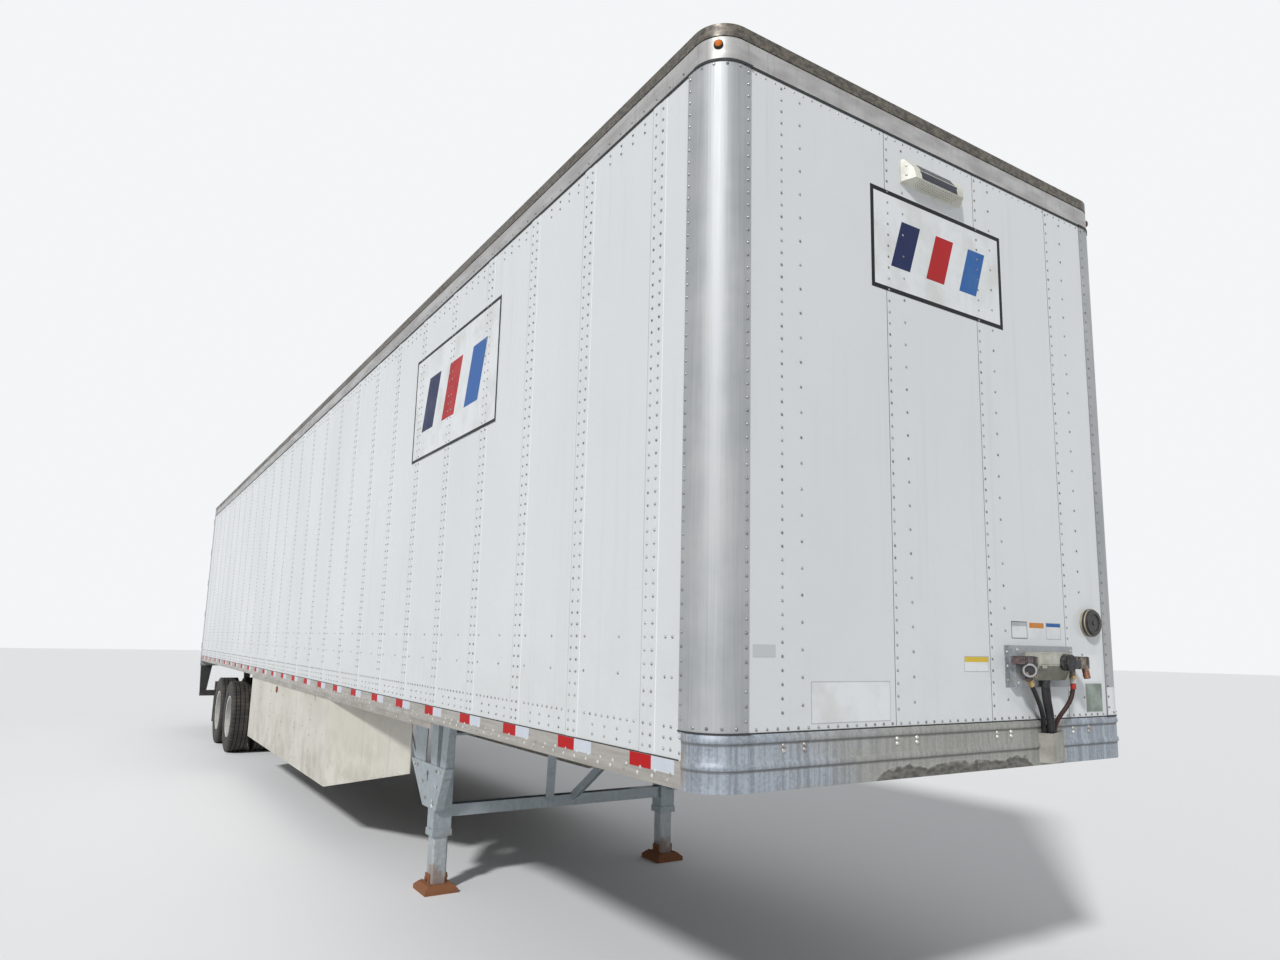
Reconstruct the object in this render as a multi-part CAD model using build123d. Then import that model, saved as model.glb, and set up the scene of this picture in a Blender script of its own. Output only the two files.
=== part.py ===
from build123d import *
from math import radians, tan
import os

# A dry van semi trailer standing on its landing legs, in millimetres.
# +X points forward, +Y to the left side, +Z up, the ground is z = 0 and the origin is under the
# middle of the whole trailer. Setbacks are measured rearwards from the nose, the front face.

# Overall sizes
body_length = 16154
body_width = 2600
overall_height = 4115
rail_bottom = 1194

# Skin, rails and corners
skin = 6
wall_thickness = 17
corner_radius = 140
post_side_flange = 43
post_front_flange = 33
bumper_height = 197
bumper_side_run = 23
bottom_rail_height = 96
bottom_flange = 60
flange_thickness = 8
header_height = 155
wall_tuck = 90
roof_sheet = 3
groove_depth = 3
groove_height = 9
bumper_groove_heights = (41, 144)
post_pitch = 610

# Floor and under-frame
crossmember_height = 97
crossmember_flange = 57
crossmember_pitch = 305
crossmember_end_gap = 2
pitches_ahead_of_pin = 2.5
floor_thickness = 35
upstand = 7
upstand_height = 46
roof_bow_height = 25
roof_bow_width = 40
sheet_metal = 4

# Kingpin and coupler
kingpin_setback = 914
kingpin_neck_radius = 25.4
kingpin_collar_radius = 35.7
kingpin_head_radius = 36.5
kingpin_collar_length = 31
kingpin_neck_length = 35
kingpin_head_length = 18
kingpin_flange_radius = 76
kingpin_flange_thickness = 12
coupler_front_setback = 110
coupler_rear_setback = 1250
coupler_half_width = 620
coupler_corner = 120
coupler_pin_clearance = 0.05

# Rear frame and doors
frame_depth = 100
frame_recess = 10
rear_post_width = 56
header_depth = 127
sill_drop = 90
door_thickness = 38
door_gap = 16
door_side_clearance = 6
door_end_clearance = 10
hinge_setback = 70
hinge_inset = 14
hinge_count = 5
hinge_end_margin = 130
strap_height = 64
strap_thickness = 8
strap_reach = 250
strap_leg_inset = 4
strap_leg_gap = 3
lug_height = 20
lug_gap = 1
hinge_pin_radius = 6
hinge_pin_clearance = 0.08
rod_radius = 13.5
rod_standoff = 30
inner_rod = 330
outer_rod_inset = 370
rod_overrun = 44
rod_bearing_count = 4
bearing_height = 40
bearing_half_width = 30
bearing_reach = 46
cam_reach = 25
cam_height = 24
keeper_gap = 8
keeper_width = 17
keeper_margin = 4
handle_share = 0.7167
handle_height = 1110
outer_handle_rise = 170
handle_thickness = 12
handle_half_height = 14
catch_half_height = 26

# Rear guard and dock bumpers
guard_bar = 100
guard_bottom = 549
guard_half_width = 1270
guard_setback = 60
guard_strut_overlap = 20
# Strut outlines: inner and outer edge at the bar, inner and outer edge at the sill
guard_inner_strut = (440, 520, 420, 540)
guard_outer_strut = (1160, 1270, 1100, 1290)
dock_bumper_depth = 72
dock_bumper_inset = 50
dock_bumper_width = 160
dock_bumper_height = 70

# Landing legs
leg_setback = 3606
leg_offset = 930
outer_leg = 126
inner_leg = 108
leg_wall = 7
leg_top_drop = 40
inner_leg_chamfer = 13
collar = 138
collar_bottom = 364
collar_height = 42
inner_leg_top = 700
shoe_length = 250
shoe_width = 230
shoe_height = 55
shoe_ear = 11
shoe_ear_half_length = 40
shoe_ear_top = 115.5
bracket_plate = 8
cross_brace_height = 524
cross_brace_size = 80
brace_strut_ahead = 710
brace_strut_start = 90
brace_strut_end = 420
brace_strut_overrun = 60
brace_strut_width = 60
brace_strut_depth = 50
cross_shaft_height = 1040
cross_shaft_radius = 15
crank_reach = 190
crank_drop = 330
crank_handle = 130
# Leg bracket outlines: (setback, height) corners of the gusset, front wing, rear wing and strap
gusset_corners = ((3354, 832), (4076, 832), (3776, 541), (3499, 541))
front_wing_corners = ((3310, 1194), (3440, 1194), (3480, 770), (3380, 770))
rear_wing_corners = ((3760, 1194), (4060, 1194), (4000, 770), (3790, 770))
strap_corners = ((3940, 790), (3985, 800), (4375, 1194), (4312, 1194))
mount_setbacks = (3160, 4460)
flange_width = 50

# Side skirts
skirt_rear_ahead = 6354
skirt_bend_setback = 5510
skirt_front_setback = 4110
skirt_front_offset = 1000
skirt_thickness = 6
skirt_inset = 10
skirt_bottom = 430
skirt_front_bottom = 707
skirt_rail_setback = 2829
skirt_rail_drop = 38
strut_width = 40
strut_spacing = 3
# Strut outline: heights of its foot over the skirt's bottom edge, and places of its head
strut_foot = (90, 170)
strut_head = (860, 940)
cut_margin = 10

# Sliding bogie
rear_axle_ahead = 3048
axle_spread = 1245
slide_rail_front_ahead = 6164
slide_rail_rear_ahead = 254
slide_rail_drop = 152
slide_rail_offset = 544
slide_rail_plate = 8
slide_rail_top_width = 104
slide_rail_lip = 28
hole_pitch = 152.4
hole_radius = 20
hole_drop = 74
bogie_rail_offset = 528
bogie_rail_width = 78
bogie_rail_height = 126.7
pad_height = 5
pad_half_length = 90
pad_inner_margin = 6
pad_outer_margin = 10
pad_clearance = 0.3
bogie_front_overhang = 640
bogie_rear_overhang = 560
cross_beam_half = 40
cross_beam_inset = 20
tank_radius = 110
tank_half_length = 300
tank_end_round = 40
tank_bracket_reach = 20
tank_bracket_share = 0.6
tank_bracket_foot = 5
tank_bracket_height = 50
beam_offset = 468
beam_width = 54
beam_eye_radius = 45
beam_pin_radius = 18
beam_hump_rise = 100
beam_hump_ahead = 110
beam_hump_behind = 90
beam_arm_start = 210
beam_arm_overhang = 110
beam_arm_depth = 50
beam_knee = 240
beam_knee_drop = 60
beam_belly_half = 100
beam_belly_drop = 85
hanger_width = 80
hanger_wall = 10
hanger_front_wall = 14
hanger_top_half = 110
hanger_foot_behind = 55
hanger_foot_ahead = 60
hanger_foot_drop = 55
hanger_hollow_drop = 70
pivot_ahead = 500
pivot_height = 680
spring_behind = 330
spring_radius = 125
spring_seat_height = 700
spring_round = 30
spring_top_gap = 8
spring_piston_radius = 78
spring_piston_height = 90
spring_bracket_half = 80
chamber_offset = 300
chamber_rise = 95
chamber_ahead = 60
# Chamber sections: (length, radius)
chamber_sections = ((120, 70), (30, 84), (120, 74))
chamber_bracket_behind = 20
chamber_bracket_half = 45
chamber_bracket_rise = 50
chamber_bracket_overlap = 8
lock_pin_inset = 60
lock_pin_length = 90
lock_pin_clearance = 3
flap_top = 880
flap_bottom = 270
flap_inside = 665
flap_outside = 1275
flap_thickness = 8
flap_arm_behind = 110
flap_arm_ahead = 25
flap_arm_half_width = 40
flap_bar = 40

# Wheels
tyre_radius = 505
tyre_width = 275
tyre_shoulder = 22
tread_inset = 14
sidewall_rise = 120
tyre_outside = 1290
dual_spacing = 343
bead_radius = 287
rim_radius = 286.5
rim_wall = 12
rim_half_width = 118
disc_thickness = 14
disc_reach = 105
disc_bore = 84
disc_flat_radius = 168
disc_flat_outer = 172
disc_rim_overlap = 4
hand_hole_radius = 27
hand_hole_circle = 205
hand_hole_count = 10
hub_flange_radius = 162
hub_body_radius = 85
hub_cap_radius = 62
hub_cap_length = 60
hub_bore = 50
spindle_clearance = 0.08
spindle_shoulder_gap = 12
hub_inner = 735
hub_outer = 1180
spindle_end = 1120
drum_radius = 215
drum_wall = 14
drum_bore = 80
drum_inner = 706
drum_outer = 925
axle_radius = 63.5
axle_taper_gap = 6
backing_plate_gap = 8
backing_plate_thickness = 8
backing_plate_clearance = 6

# Front fittings: (left edge, right edge, bottom, top), heights over the rail's bottom
nose_plate_box = (334, 805, 346, 530)
nose_plate_depth = 35
nose_plate_flange = 30
connector_box_box = (440, 690, 379, 502)
connector_box_depth = 67
connector_box_slant = 64
connector_box_shelf = 30
coupling_body_height = 465
coupling_face_radius = 30
coupling_face_reach = 110
coupling_face_place = (355, 422)
coupling_face_turn = (0.55, -0.83, 0)
coupling_face_recess = 8
coupling_face_rim = 9
coupling_outlet_length = 34
# Body of the turned coupling: left edge, right edge, half height, reach past the outlet
coupling_body = (330, 430, 16, 14)
# Ends of its two stems inside the body: (behind the outlet, place across)
coupling_stem_ends = ((8, 392), (12, 370))
coupling_cap_radius = 36
coupling_cap_depth = 38
coupling_cap_place = (626, 457)
# Parts of the capped coupling: reach past the box, edges across, bottom and top from the cap's middle
capped_link = (28, 626, 745, -20, 14)
capped_body = (14, 698, 805, -27, 26)
capped_outlet_length = 60
spout_start = (785, -10)
spout_end = (781, -70)
spout_radius = 15
coupling_stem_radius = 13
coupling_stand = 81
air_line_radius = 10
cable_radius = 12
pocket_left = 552
pocket_fold = 575
pocket_right = 749
pocket_bottom = 12
pocket_top = 141
pocket_depth = 56
pocket_wall = 4
holder_inset = 300
holder_height = 647
holder_radius = 66
holder_depth = 30
holder_cap_radius = 58
holder_cap_depth = 10
holder_cap_recess = 5
holder_cap_rim = 16
sensor_box = (-274, 126, 2550, 2657)
sensor_depth = 62
sensor_chin = 14
sensor_face_top = 60
sensor_lean = 8
sensor_top_depth = 22
sensor_end_root = 10
sensor_end_run = 40

# Lamps
marker_radius = 26
marker_depth = 16
nose_lamp_places = (-150, 0, 150)
nose_lamp_rise = 60
side_lamp_reach = 4
skirt_lamp_drop = 90
rear_lamp_radius = 52
rear_lamp_height = 1246
rear_lamp_places = (700, 850, 1000)
rear_lamp_reach = 6
header_lamp_offset = 22
header_lamp_inset = 120
header_lamp_spread = 160
skirt_lamp_share = 0.589
rear_side_lamp_ahead = 174

# Derived places
half_width = body_width / 2
side_face = half_width - skin
side_inside = side_face - wall_thickness
front_reach = nose_plate_depth + connector_box_depth + coupling_cap_depth - skin
rear_reach = hinge_setback + hinge_inset
nose = (body_length + rear_reach - front_reach) / 2
tail = nose - body_length
front_face = nose - skin
front_inside = front_face - wall_thickness
rail_rear = tail + frame_depth
bumper_setback = corner_radius + bumper_side_run
post_side_setback = corner_radius + post_side_flange
rail_front = nose - bumper_setback
bumper_top = rail_bottom + bumper_height
under_floor = rail_bottom + flange_thickness + crossmember_height
floor_top = under_floor + floor_thickness
floor_half_width = side_inside - upstand
roof_seat = overall_height - roof_sheet
header_bottom = overall_height - header_height
wall_top = header_bottom + wall_tuck
frame_rear = tail + frame_recess
opening_half_width = half_width - rear_post_width
opening_top = roof_seat - header_depth
door_bottom = floor_top + door_end_clearance
door_top = opening_top - door_end_clearance
hinge_x = tail - hinge_setback
hinge_y = half_width - hinge_inset
rod_places = (inner_rod, half_width - outer_rod_inset)
handle_length = handle_share * (rod_places[1] - inner_rod)
axle_places = (tail + rear_axle_ahead + axle_spread, tail + rear_axle_ahead)
leg_x = nose - leg_setback
leg_face = leg_offset + outer_leg / 2
crossmember_bottom = rail_bottom + flange_thickness
skirt_rear = tail + skirt_rear_ahead
skirt_outside = half_width - skirt_inset
skirt_inside = skirt_outside - skirt_thickness
skirt_top = rail_bottom - skin
bogie_rail_top = rail_bottom - pad_clearance - pad_height
bogie_rail_bottom = bogie_rail_top - bogie_rail_height
bogie_front = axle_places[0] + bogie_front_overhang
bogie_rear = axle_places[1] - bogie_rear_overhang
wheel_middle = tyre_outside - tyre_width / 2 - dual_spacing / 2
plate_front = front_face + nose_plate_depth
box_front = plate_front + connector_box_depth
coupling_x = nose + coupling_stand
coupling_outlet_lean = Vector(-25, 98, -91).normalized()
coupling_outlet = Vector(coupling_x, 388, rail_bottom + 372)
capped_outlet = Vector(coupling_x, 712, rail_bottom + 382)
pocket_floor = pocket_bottom + pocket_wall
box_shelf_middle = nose_plate_depth - skin + connector_box_shelf / 2

parts_folder = "parts"
os.makedirs(parts_folder, exist_ok=True)


def block(x0, x1, y0, y1, z0, z1):
    """A box between two corners."""
    size = (x1 - x0, y1 - y0, z1 - z0)
    return Pos((x0 + x1) / 2, (y0 + y1) / 2, (z0 + z1) / 2) * Box(*size)


def side_plate(points, y0, y1):
    """An outline in X and Z, thickened from y0 to y1."""
    plane = Plane(origin=(0, y1, 0), x_dir=(1, 0, 0), z_dir=(0, -1, 0))
    return extrude(plane * make_face(Polyline(*points, close=True)), y1 - y0)


def cross_plate(points, x0, x1):
    """An outline in Y and Z, thickened from x0 to x1."""
    plane = Plane(origin=(x0, 0, 0), x_dir=(0, 1, 0), z_dir=(1, 0, 0))
    return extrude(plane * make_face(Polyline(*points, close=True)), x1 - x0)


def flat_plate(points, z0, z1):
    """An outline in X and Y, thickened from z0 to z1."""
    return extrude(Pos(0, 0, z0) * make_face(Polyline(*points, close=True)), z1 - z0)


def rod(start, end, radius):
    """A round bar between two points."""
    line = Vector(*end) - Vector(*start)
    plane = Plane(origin=start, z_dir=line)
    return extrude(plane * Circle(radius), line.length)


def bar(start, end, wide, deep):
    """A flat bar between two points, with its width level."""
    line = Vector(*end) - Vector(*start)
    level = line.cross(Vector(0, 0, 1))
    plane = Plane(origin=start, x_dir=level, z_dir=line)
    return extrude(plane * Rectangle(wide, deep), line.length)


def turned(profile, x, z):
    """A profile of distance along +Y and radius, turned about the line at x and z along Y."""
    outline = [(radius, along) for along, radius in profile]
    flat = make_face(Polyline(*outline, close=True))
    return Pos(x, 0, z) * revolve(flat, Axis.Y)


def mirrored(shape):
    """The same piece on the right side."""
    return mirror(shape, about=Plane.XZ)


def pair(shape):
    return [shape, mirrored(shape)]


def save(name, *solids):
    export_step(Compound(list(solids)), os.path.join(parts_folder, name + ".step"))


def nose_plan(inset, rear):
    """Plan of the body inside its outer skin, round at the two front corners."""
    front = nose - inset
    flat = Pos((front + rear) / 2, 0) * Rectangle(front - rear, 2 * (half_width - inset))
    return fillet(flat.vertices().group_by(Axis.X)[-1], corner_radius - inset)


def nose_ring(outer, inner, rear, z0, z1):
    """A band that follows the nose, from one inset to another."""
    flat = nose_plan(outer, rear) - nose_plan(inner, rear)
    return extrude(Pos(0, 0, z0) * flat, z1 - z0)


# Front bumper, the pressed lower front rail that wraps both corners
def front_bumper():
    rear = nose - bumper_setback
    shelf_reach = skin + wall_thickness + upstand
    shape = nose_ring(0, skin, rear, rail_bottom, bumper_top)
    shape += nose_ring(0, bottom_flange, rear, rail_bottom, crossmember_bottom)
    shape += nose_ring(0, shelf_reach + skin, rear, bumper_top - skin, bumper_top)
    shape += nose_ring(shelf_reach, shelf_reach + skin, rear, floor_top, bumper_top)
    for height in bumper_groove_heights:
        low = rail_bottom + height
        shape -= nose_ring(0, groove_depth, rear, low, low + groove_height)
    return shape


# Front header, the top rail that wraps both corners
def front_header():
    rear = nose - bumper_setback
    inner = skin + wall_thickness
    shape = nose_ring(0, skin, rear, header_bottom, roof_seat)
    shape += nose_ring(0, bottom_flange, rear, roof_seat - flange_thickness, roof_seat)
    shape += nose_ring(inner, inner + skin, rear, header_bottom + wall_tuck / 2, roof_seat)
    shape -= nose_ring(0, groove_depth, rear, wall_top, wall_top + groove_height)
    return shape


def corner_post():
    """The round post of the left front corner, with a flange over each wall."""
    flange_edge = half_width - corner_radius - post_front_flange
    wall_edge = half_width - corner_radius
    rear = nose - post_side_setback
    outer = nose_ring(0, skin, rear, bumper_top, header_bottom)
    outer = outer & block(rear, nose, flange_edge, half_width, bumper_top, header_bottom)
    inner = nose_ring(skin, skin + wall_thickness, rail_front, bumper_top, wall_top)
    inner = inner & block(rail_front, nose, wall_edge, half_width, bumper_top, wall_top)
    return outer + inner


def bottom_rail():
    """The extruded bottom rail of the left side, which carries floor and wall."""
    top = rail_bottom + bottom_rail_height
    profile = [
        (half_width, rail_bottom),
        (half_width, top),
        (side_inside, top),
        (side_inside, floor_top + upstand_height),
        (floor_half_width, floor_top + upstand_height),
        (floor_half_width, top - skin),
        (side_face, top - skin),
        (side_face, crossmember_bottom),
        (half_width - bottom_flange, crossmember_bottom),
        (half_width - bottom_flange, rail_bottom),
    ]
    return cross_plate(profile, rail_rear, rail_front)


def top_rail():
    """The extruded top rail of the left side, with a slot for the wall's top edge."""
    slot_side = side_inside - skin
    flange = roof_seat - flange_thickness
    profile = [
        (half_width, header_bottom),
        (half_width, wall_top),
        (half_width - groove_depth, wall_top),
        (half_width - groove_depth, wall_top + groove_height),
        (half_width, wall_top + groove_height),
        (half_width, roof_seat),
        (half_width - bottom_flange, roof_seat),
        (half_width - bottom_flange, flange),
        (slot_side, flange),
        (slot_side, header_bottom + wall_tuck / 2),
        (side_inside, header_bottom + wall_tuck / 2),
        (side_inside, flange),
        (side_face, flange),
        (side_face, header_bottom),
    ]
    return cross_plate(profile, rail_rear, rail_front)


def side_wall():
    low = rail_bottom + bottom_rail_height
    return block(rail_rear, rail_front, side_inside, side_face, low, wall_top)


def front_wall():
    edge = half_width - corner_radius
    return block(front_inside, front_face, -edge, edge, bumper_top, wall_top)


def roof():
    return extrude(Pos(0, 0, roof_seat) * nose_plan(groove_depth, tail + frame_recess), roof_sheet)


def floor():
    inset = half_width - floor_half_width
    return extrude(Pos(0, 0, under_floor) * nose_plan(inset, rail_rear), floor_thickness)


def crossmember(x):
    """An I beam across the frame."""
    half = crossmember_flange / 2
    reach = floor_half_width - crossmember_end_gap
    beam = block(x - half, x + half, -reach, reach, crossmember_bottom, under_floor)
    for side in (-1, 1):
        near = x + side * sheet_metal / 2
        far = x + side * half
        low = crossmember_bottom + sheet_metal
        beam -= block(min(near, far), max(near, far), -reach, reach, low, under_floor - sheet_metal)
    return beam


def crossmember_places():
    first = nose - kingpin_setback + pitches_ahead_of_pin * crossmember_pitch
    last = rail_rear + crossmember_flange
    count = int((first - last) / crossmember_pitch) + 1
    return [first - i * crossmember_pitch for i in range(count)]


def roof_bow(x):
    """A Z section under the roof sheet."""
    half = roof_bow_width / 2
    low = roof_seat - roof_bow_height
    web = sheet_metal / 2
    profile = [
        (x - web, roof_seat - sheet_metal),
        (x - half, roof_seat - sheet_metal),
        (x - half, roof_seat),
        (x + web, roof_seat),
        (x + web, low + sheet_metal),
        (x + half, low + sheet_metal),
        (x + half, low),
        (x - web, low),
    ]
    reach = half_width - bottom_flange
    return side_plate(profile, -reach, reach)


def kingpin():
    """The coupling pin: flange over the coupler plate, collar, neck and head."""
    collar_end = rail_bottom - kingpin_collar_length
    neck_end = collar_end - kingpin_neck_length
    x = nose - kingpin_setback
    flange = extrude(Circle(kingpin_flange_radius), kingpin_flange_thickness)
    shape = Pos(x, 0, crossmember_bottom) * flange
    levels = [
        (kingpin_collar_radius, collar_end, crossmember_bottom),
        (kingpin_neck_radius, neck_end, collar_end),
        (kingpin_head_radius, neck_end - kingpin_head_length, neck_end),
    ]
    for radius, low, high in levels:
        shape += Pos(x, 0, low) * extrude(Circle(radius), high - low)
    return shape


def coupler_plate():
    x0 = nose - coupler_rear_setback
    x1 = nose - coupler_front_setback
    plate = block(x0, x1, -coupler_half_width, coupler_half_width, rail_bottom, crossmember_bottom)
    plate = fillet(plate.edges().filter_by(Axis.Z).group_by(Axis.X)[-1], coupler_corner)
    hole = Circle(kingpin_collar_radius + coupler_pin_clearance)
    return plate - Pos(nose - kingpin_setback, 0, rail_bottom) * extrude(hole, flange_thickness)


# Rear frame: two posts, header and sill welded into one portal, with the hinge lugs
def hinge_places():
    low = door_bottom + hinge_end_margin
    step = (door_top - door_bottom - 2 * hinge_end_margin) / (hinge_count - 1)
    return [low + i * step for i in range(hinge_count)]


def hinge_lugs(z):
    """Two lugs and the pin between them, on the left post."""
    start = strap_height / 2 + lug_gap
    shape = Pos(hinge_x, hinge_y, z - start - lug_height) * extrude(
        Circle(hinge_pin_radius), 2 * (start + lug_height)
    )
    for low in (z + start, z - start - lug_height):
        high = low + lug_height
        shape += block(hinge_x, frame_rear, hinge_y - hinge_inset, half_width, low, high)
        shape += Pos(hinge_x, hinge_y, low) * extrude(Circle(hinge_inset), lug_height)
    return shape


def keeper(y, low):
    """The keeper beside a lock rod's cam."""
    near = y + cam_reach + keeper_gap
    reach = rod_standoff + rod_radius
    high = low + cam_height + 2 * keeper_margin
    return block(tail - reach, frame_rear, near, near + keeper_width, low, high)


def rear_frame():
    sill_bottom = rail_bottom - sill_drop
    shape = block(frame_rear, rail_rear, -half_width, half_width, sill_bottom, roof_seat)
    shape -= block(
        frame_rear, rail_rear, -opening_half_width, opening_half_width, floor_top, opening_top
    )
    for y in rear_lamp_places:
        for side in (-1, 1):
            start = (frame_rear, side * y, rear_lamp_height)
            end = (frame_rear + marker_depth, side * y, rear_lamp_height)
            shape -= rod(start, end, rear_lamp_radius)
    for z in hinge_places():
        lugs = hinge_lugs(z)
        shape += lugs
        shape += mirrored(lugs)
    low_cam = door_bottom - rod_overrun
    high_cam = door_top + rod_overrun - cam_height
    for y in rod_places:
        for low in (low_cam - keeper_margin, high_cam - keeper_margin):
            shape += keeper(y, low)
            shape += mirrored(keeper(y, low))
    return shape


def door():
    """The left door leaf."""
    edge = opening_half_width - door_side_clearance
    return block(tail, tail + door_thickness, door_gap / 2, edge, door_bottom, door_top)


def lock_rod(y, handle_z, handle_side):
    """A lock rod with its cams, bearings and handle, on the left door."""
    x = tail - rod_standoff
    low = door_bottom - rod_overrun
    high = door_top + rod_overrun
    shape = Pos(x, y, low) * extrude(Circle(rod_radius), high - low)
    for z in (low, high - cam_height):
        shape += block(x - rod_radius / 2, x + rod_radius / 2, y, y + cam_reach, z, z + cam_height)
    step = (door_top - door_bottom - 2 * hinge_end_margin) / (rod_bearing_count - 1)
    for i in range(rod_bearing_count):
        z = door_bottom + hinge_end_margin + i * step
        half = bearing_height / 2
        near = y - bearing_half_width
        far = y + bearing_half_width
        shape += block(tail - bearing_reach, tail, near, far, z - half, z + half)
    end = y + handle_side * handle_length
    near, far = sorted((y, end))
    rear = tail - bearing_reach
    low = handle_z - handle_half_height
    high = handle_z + handle_half_height
    shape += block(rear, rear + handle_thickness, near, far, low, high)
    near, far = sorted((end, end - handle_side * bearing_half_width))
    low = handle_z - catch_half_height
    high = handle_z + catch_half_height
    return shape + block(rear, tail, near, far, low, high)


def hinge_strap(z):
    """A hinge strap on the left door, with its knuckle round the pin."""
    half = strap_height / 2
    start = hinge_x + hinge_pin_radius + strap_leg_gap
    leg_out = hinge_y - strap_leg_inset
    leg_in = leg_out - strap_thickness
    plan = [
        (tail - strap_thickness, hinge_y - strap_reach),
        (tail, hinge_y - strap_reach),
        (tail, leg_out),
        (start, leg_out),
        (start, leg_in),
        (tail - strap_thickness, leg_in),
    ]
    shape = flat_plate(plan, z - half, z + half)
    knuckle = Pos(hinge_x, hinge_y, z - half) * extrude(Circle(hinge_inset), strap_height)
    bore = Pos(hinge_x, hinge_y, z - half) * extrude(
        Circle(hinge_pin_radius + hinge_pin_clearance), strap_height
    )
    return shape + knuckle - bore


def door_hardware():
    inner, outer = rod_places
    base = floor_top + handle_height
    parts = [lock_rod(inner, base, 1), lock_rod(outer, base + outer_handle_rise, -1)]
    return parts + [hinge_strap(z) for z in hinge_places()]


def rear_guard():
    """The impact guard's bar and its four struts."""
    top = rail_bottom - sill_drop
    bar_top = guard_bottom + guard_bar
    x0 = tail + guard_setback
    strut_depth = frame_depth - guard_setback + guard_strut_overlap
    shape = block(x0, x0 + guard_bar, -guard_half_width, guard_half_width, guard_bottom, bar_top)
    for low_in, low_out, top_in, top_out in (guard_inner_strut, guard_outer_strut):
        outline = [(low_in, bar_top), (low_out, bar_top), (top_out, top), (top_in, top)]
        strut = cross_plate(outline, x0, x0 + strut_depth)
        shape += strut
        shape += mirrored(strut)
    return shape


def dock_bumper():
    low = rail_bottom - sill_drop + skin
    out = half_width - dock_bumper_inset
    rear = frame_rear - dock_bumper_depth
    return block(rear, frame_rear, out - dock_bumper_width, out, low, low + dock_bumper_height)


# Landing legs
def square(size, x, y, z0, z1):
    return block(x - size / 2, x + size / 2, y - size / 2, y + size / 2, z0, z1)


def landing_leg():
    """The left outer leg with the collar that guides the inner leg."""
    top = crossmember_bottom - leg_top_drop
    collar_top = collar_bottom + collar_height
    shape = square(outer_leg, leg_x, leg_offset, collar_top, top)
    shape += square(collar, leg_x, leg_offset, collar_bottom, collar_top)
    hollow = outer_leg - 2 * leg_wall
    shape -= square(hollow, leg_x, leg_offset, collar_top, top - leg_wall)
    shape -= square(inner_leg, leg_x, leg_offset, collar_bottom, collar_top)
    return shape


def inner_leg_tube():
    shape = square(inner_leg, leg_x, leg_offset, shoe_height, inner_leg_top)
    shape = chamfer(shape.edges().filter_by(Axis.Z), inner_leg_chamfer)
    bore = inner_leg - 2 * leg_wall - inner_leg_chamfer
    return shape - square(bore, leg_x, leg_offset, shoe_height, inner_leg_top)


def leg_shoe():
    """The sand shoe: a dished pad with two ears beside the inner leg."""
    front = leg_x + shoe_length / 2
    half = shoe_width / 2
    shape = block(front - shoe_length, front, leg_offset - half, leg_offset + half, 0, shoe_height)
    top_edges = shape.edges().group_by(Axis.Z)[-1]
    shape = chamfer(top_edges, shoe_height / 2)
    ear_front = leg_x + shoe_ear_half_length
    ear_rear = leg_x - shoe_ear_half_length
    for side in (-1, 1):
        face = leg_offset + side * inner_leg / 2
        near, far = sorted((face, face + side * shoe_ear))
        shape += block(ear_rear, ear_front, near, far, shoe_height, shoe_ear_top)
    return shape


def setback_corners(pairs):
    """Corners in X and Z from pairs of setback and height."""
    return [(nose - setback, height) for setback, height in pairs]


def leg_bracket():
    """The left leg's gusset, its two wings with their flanges, the drag strap and the mounting strip."""
    face = leg_face
    inner = face - bracket_plate
    shape = side_plate(setback_corners(gusset_corners), face, face + bracket_plate)
    for wing in (front_wing_corners, rear_wing_corners):
        shape += side_plate(setback_corners(wing), inner, face)
    flange_lines = (
        (gusset_corners[0], gusset_corners[3], 1, face + bracket_plate),
        (front_wing_corners[0], front_wing_corners[3], 1, face),
        (rear_wing_corners[1], rear_wing_corners[2], -1, face),
    )
    for (high_setback, high), (low_setback, low), side, outside in flange_lines:
        flange = (
            (high_setback, high),
            (low_setback, low),
            (low_setback + side * bracket_plate, low),
            (high_setback + side * bracket_plate, high),
        )
        shape += side_plate(setback_corners(flange), face - flange_width, outside)
    strap = side_plate(setback_corners(strap_corners), inner, face)
    first, last = mount_setbacks
    strip = block(nose - last, nose - first, face - flange_width, face, rail_bottom, crossmember_bottom)
    return shape + strap + strip


def leg_cross_brace():
    """The tube between the legs and its two struts up to the frame."""
    half = cross_brace_size / 2
    reach = leg_offset - outer_leg / 2
    low = cross_brace_height - half
    high = cross_brace_height + half
    shape = block(leg_x - half, leg_x + half, -reach, reach, low, high)
    target = min(crossmember_places(), key=lambda x: abs(x - leg_x - brace_strut_ahead))
    front = target + 2 * brace_strut_width
    for side in (-1, 1):
        start = (leg_x, side * brace_strut_start, low + half)
        end = (target, side * brace_strut_end, crossmember_bottom + brace_strut_overrun)
        strut = bar(start, end, brace_strut_width, brace_strut_depth)
        shape += strut & block(leg_x, front, -reach, reach, low, crossmember_bottom)
    return shape


def leg_crank_shaft():
    """The shaft between the legs, and the crank folded beside the left leg."""
    reach = leg_offset - outer_leg / 2
    z = cross_shaft_height
    across = rod((leg_x, -reach, z), (leg_x, reach, z), cross_shaft_radius)
    out = leg_face + crank_reach
    foot = z - crank_drop
    crank = rod((leg_x, leg_face, z), (leg_x, out, z), cross_shaft_radius)
    crank += Pos(leg_x, out, z) * Sphere(cross_shaft_radius)
    crank += rod((leg_x, out, z), (leg_x, out, foot), cross_shaft_radius)
    crank += Pos(leg_x, out, foot) * Sphere(cross_shaft_radius)
    crank += rod((leg_x, out, foot), (leg_x, out - crank_handle, foot), cross_shaft_radius)
    return [across, crank]


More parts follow.
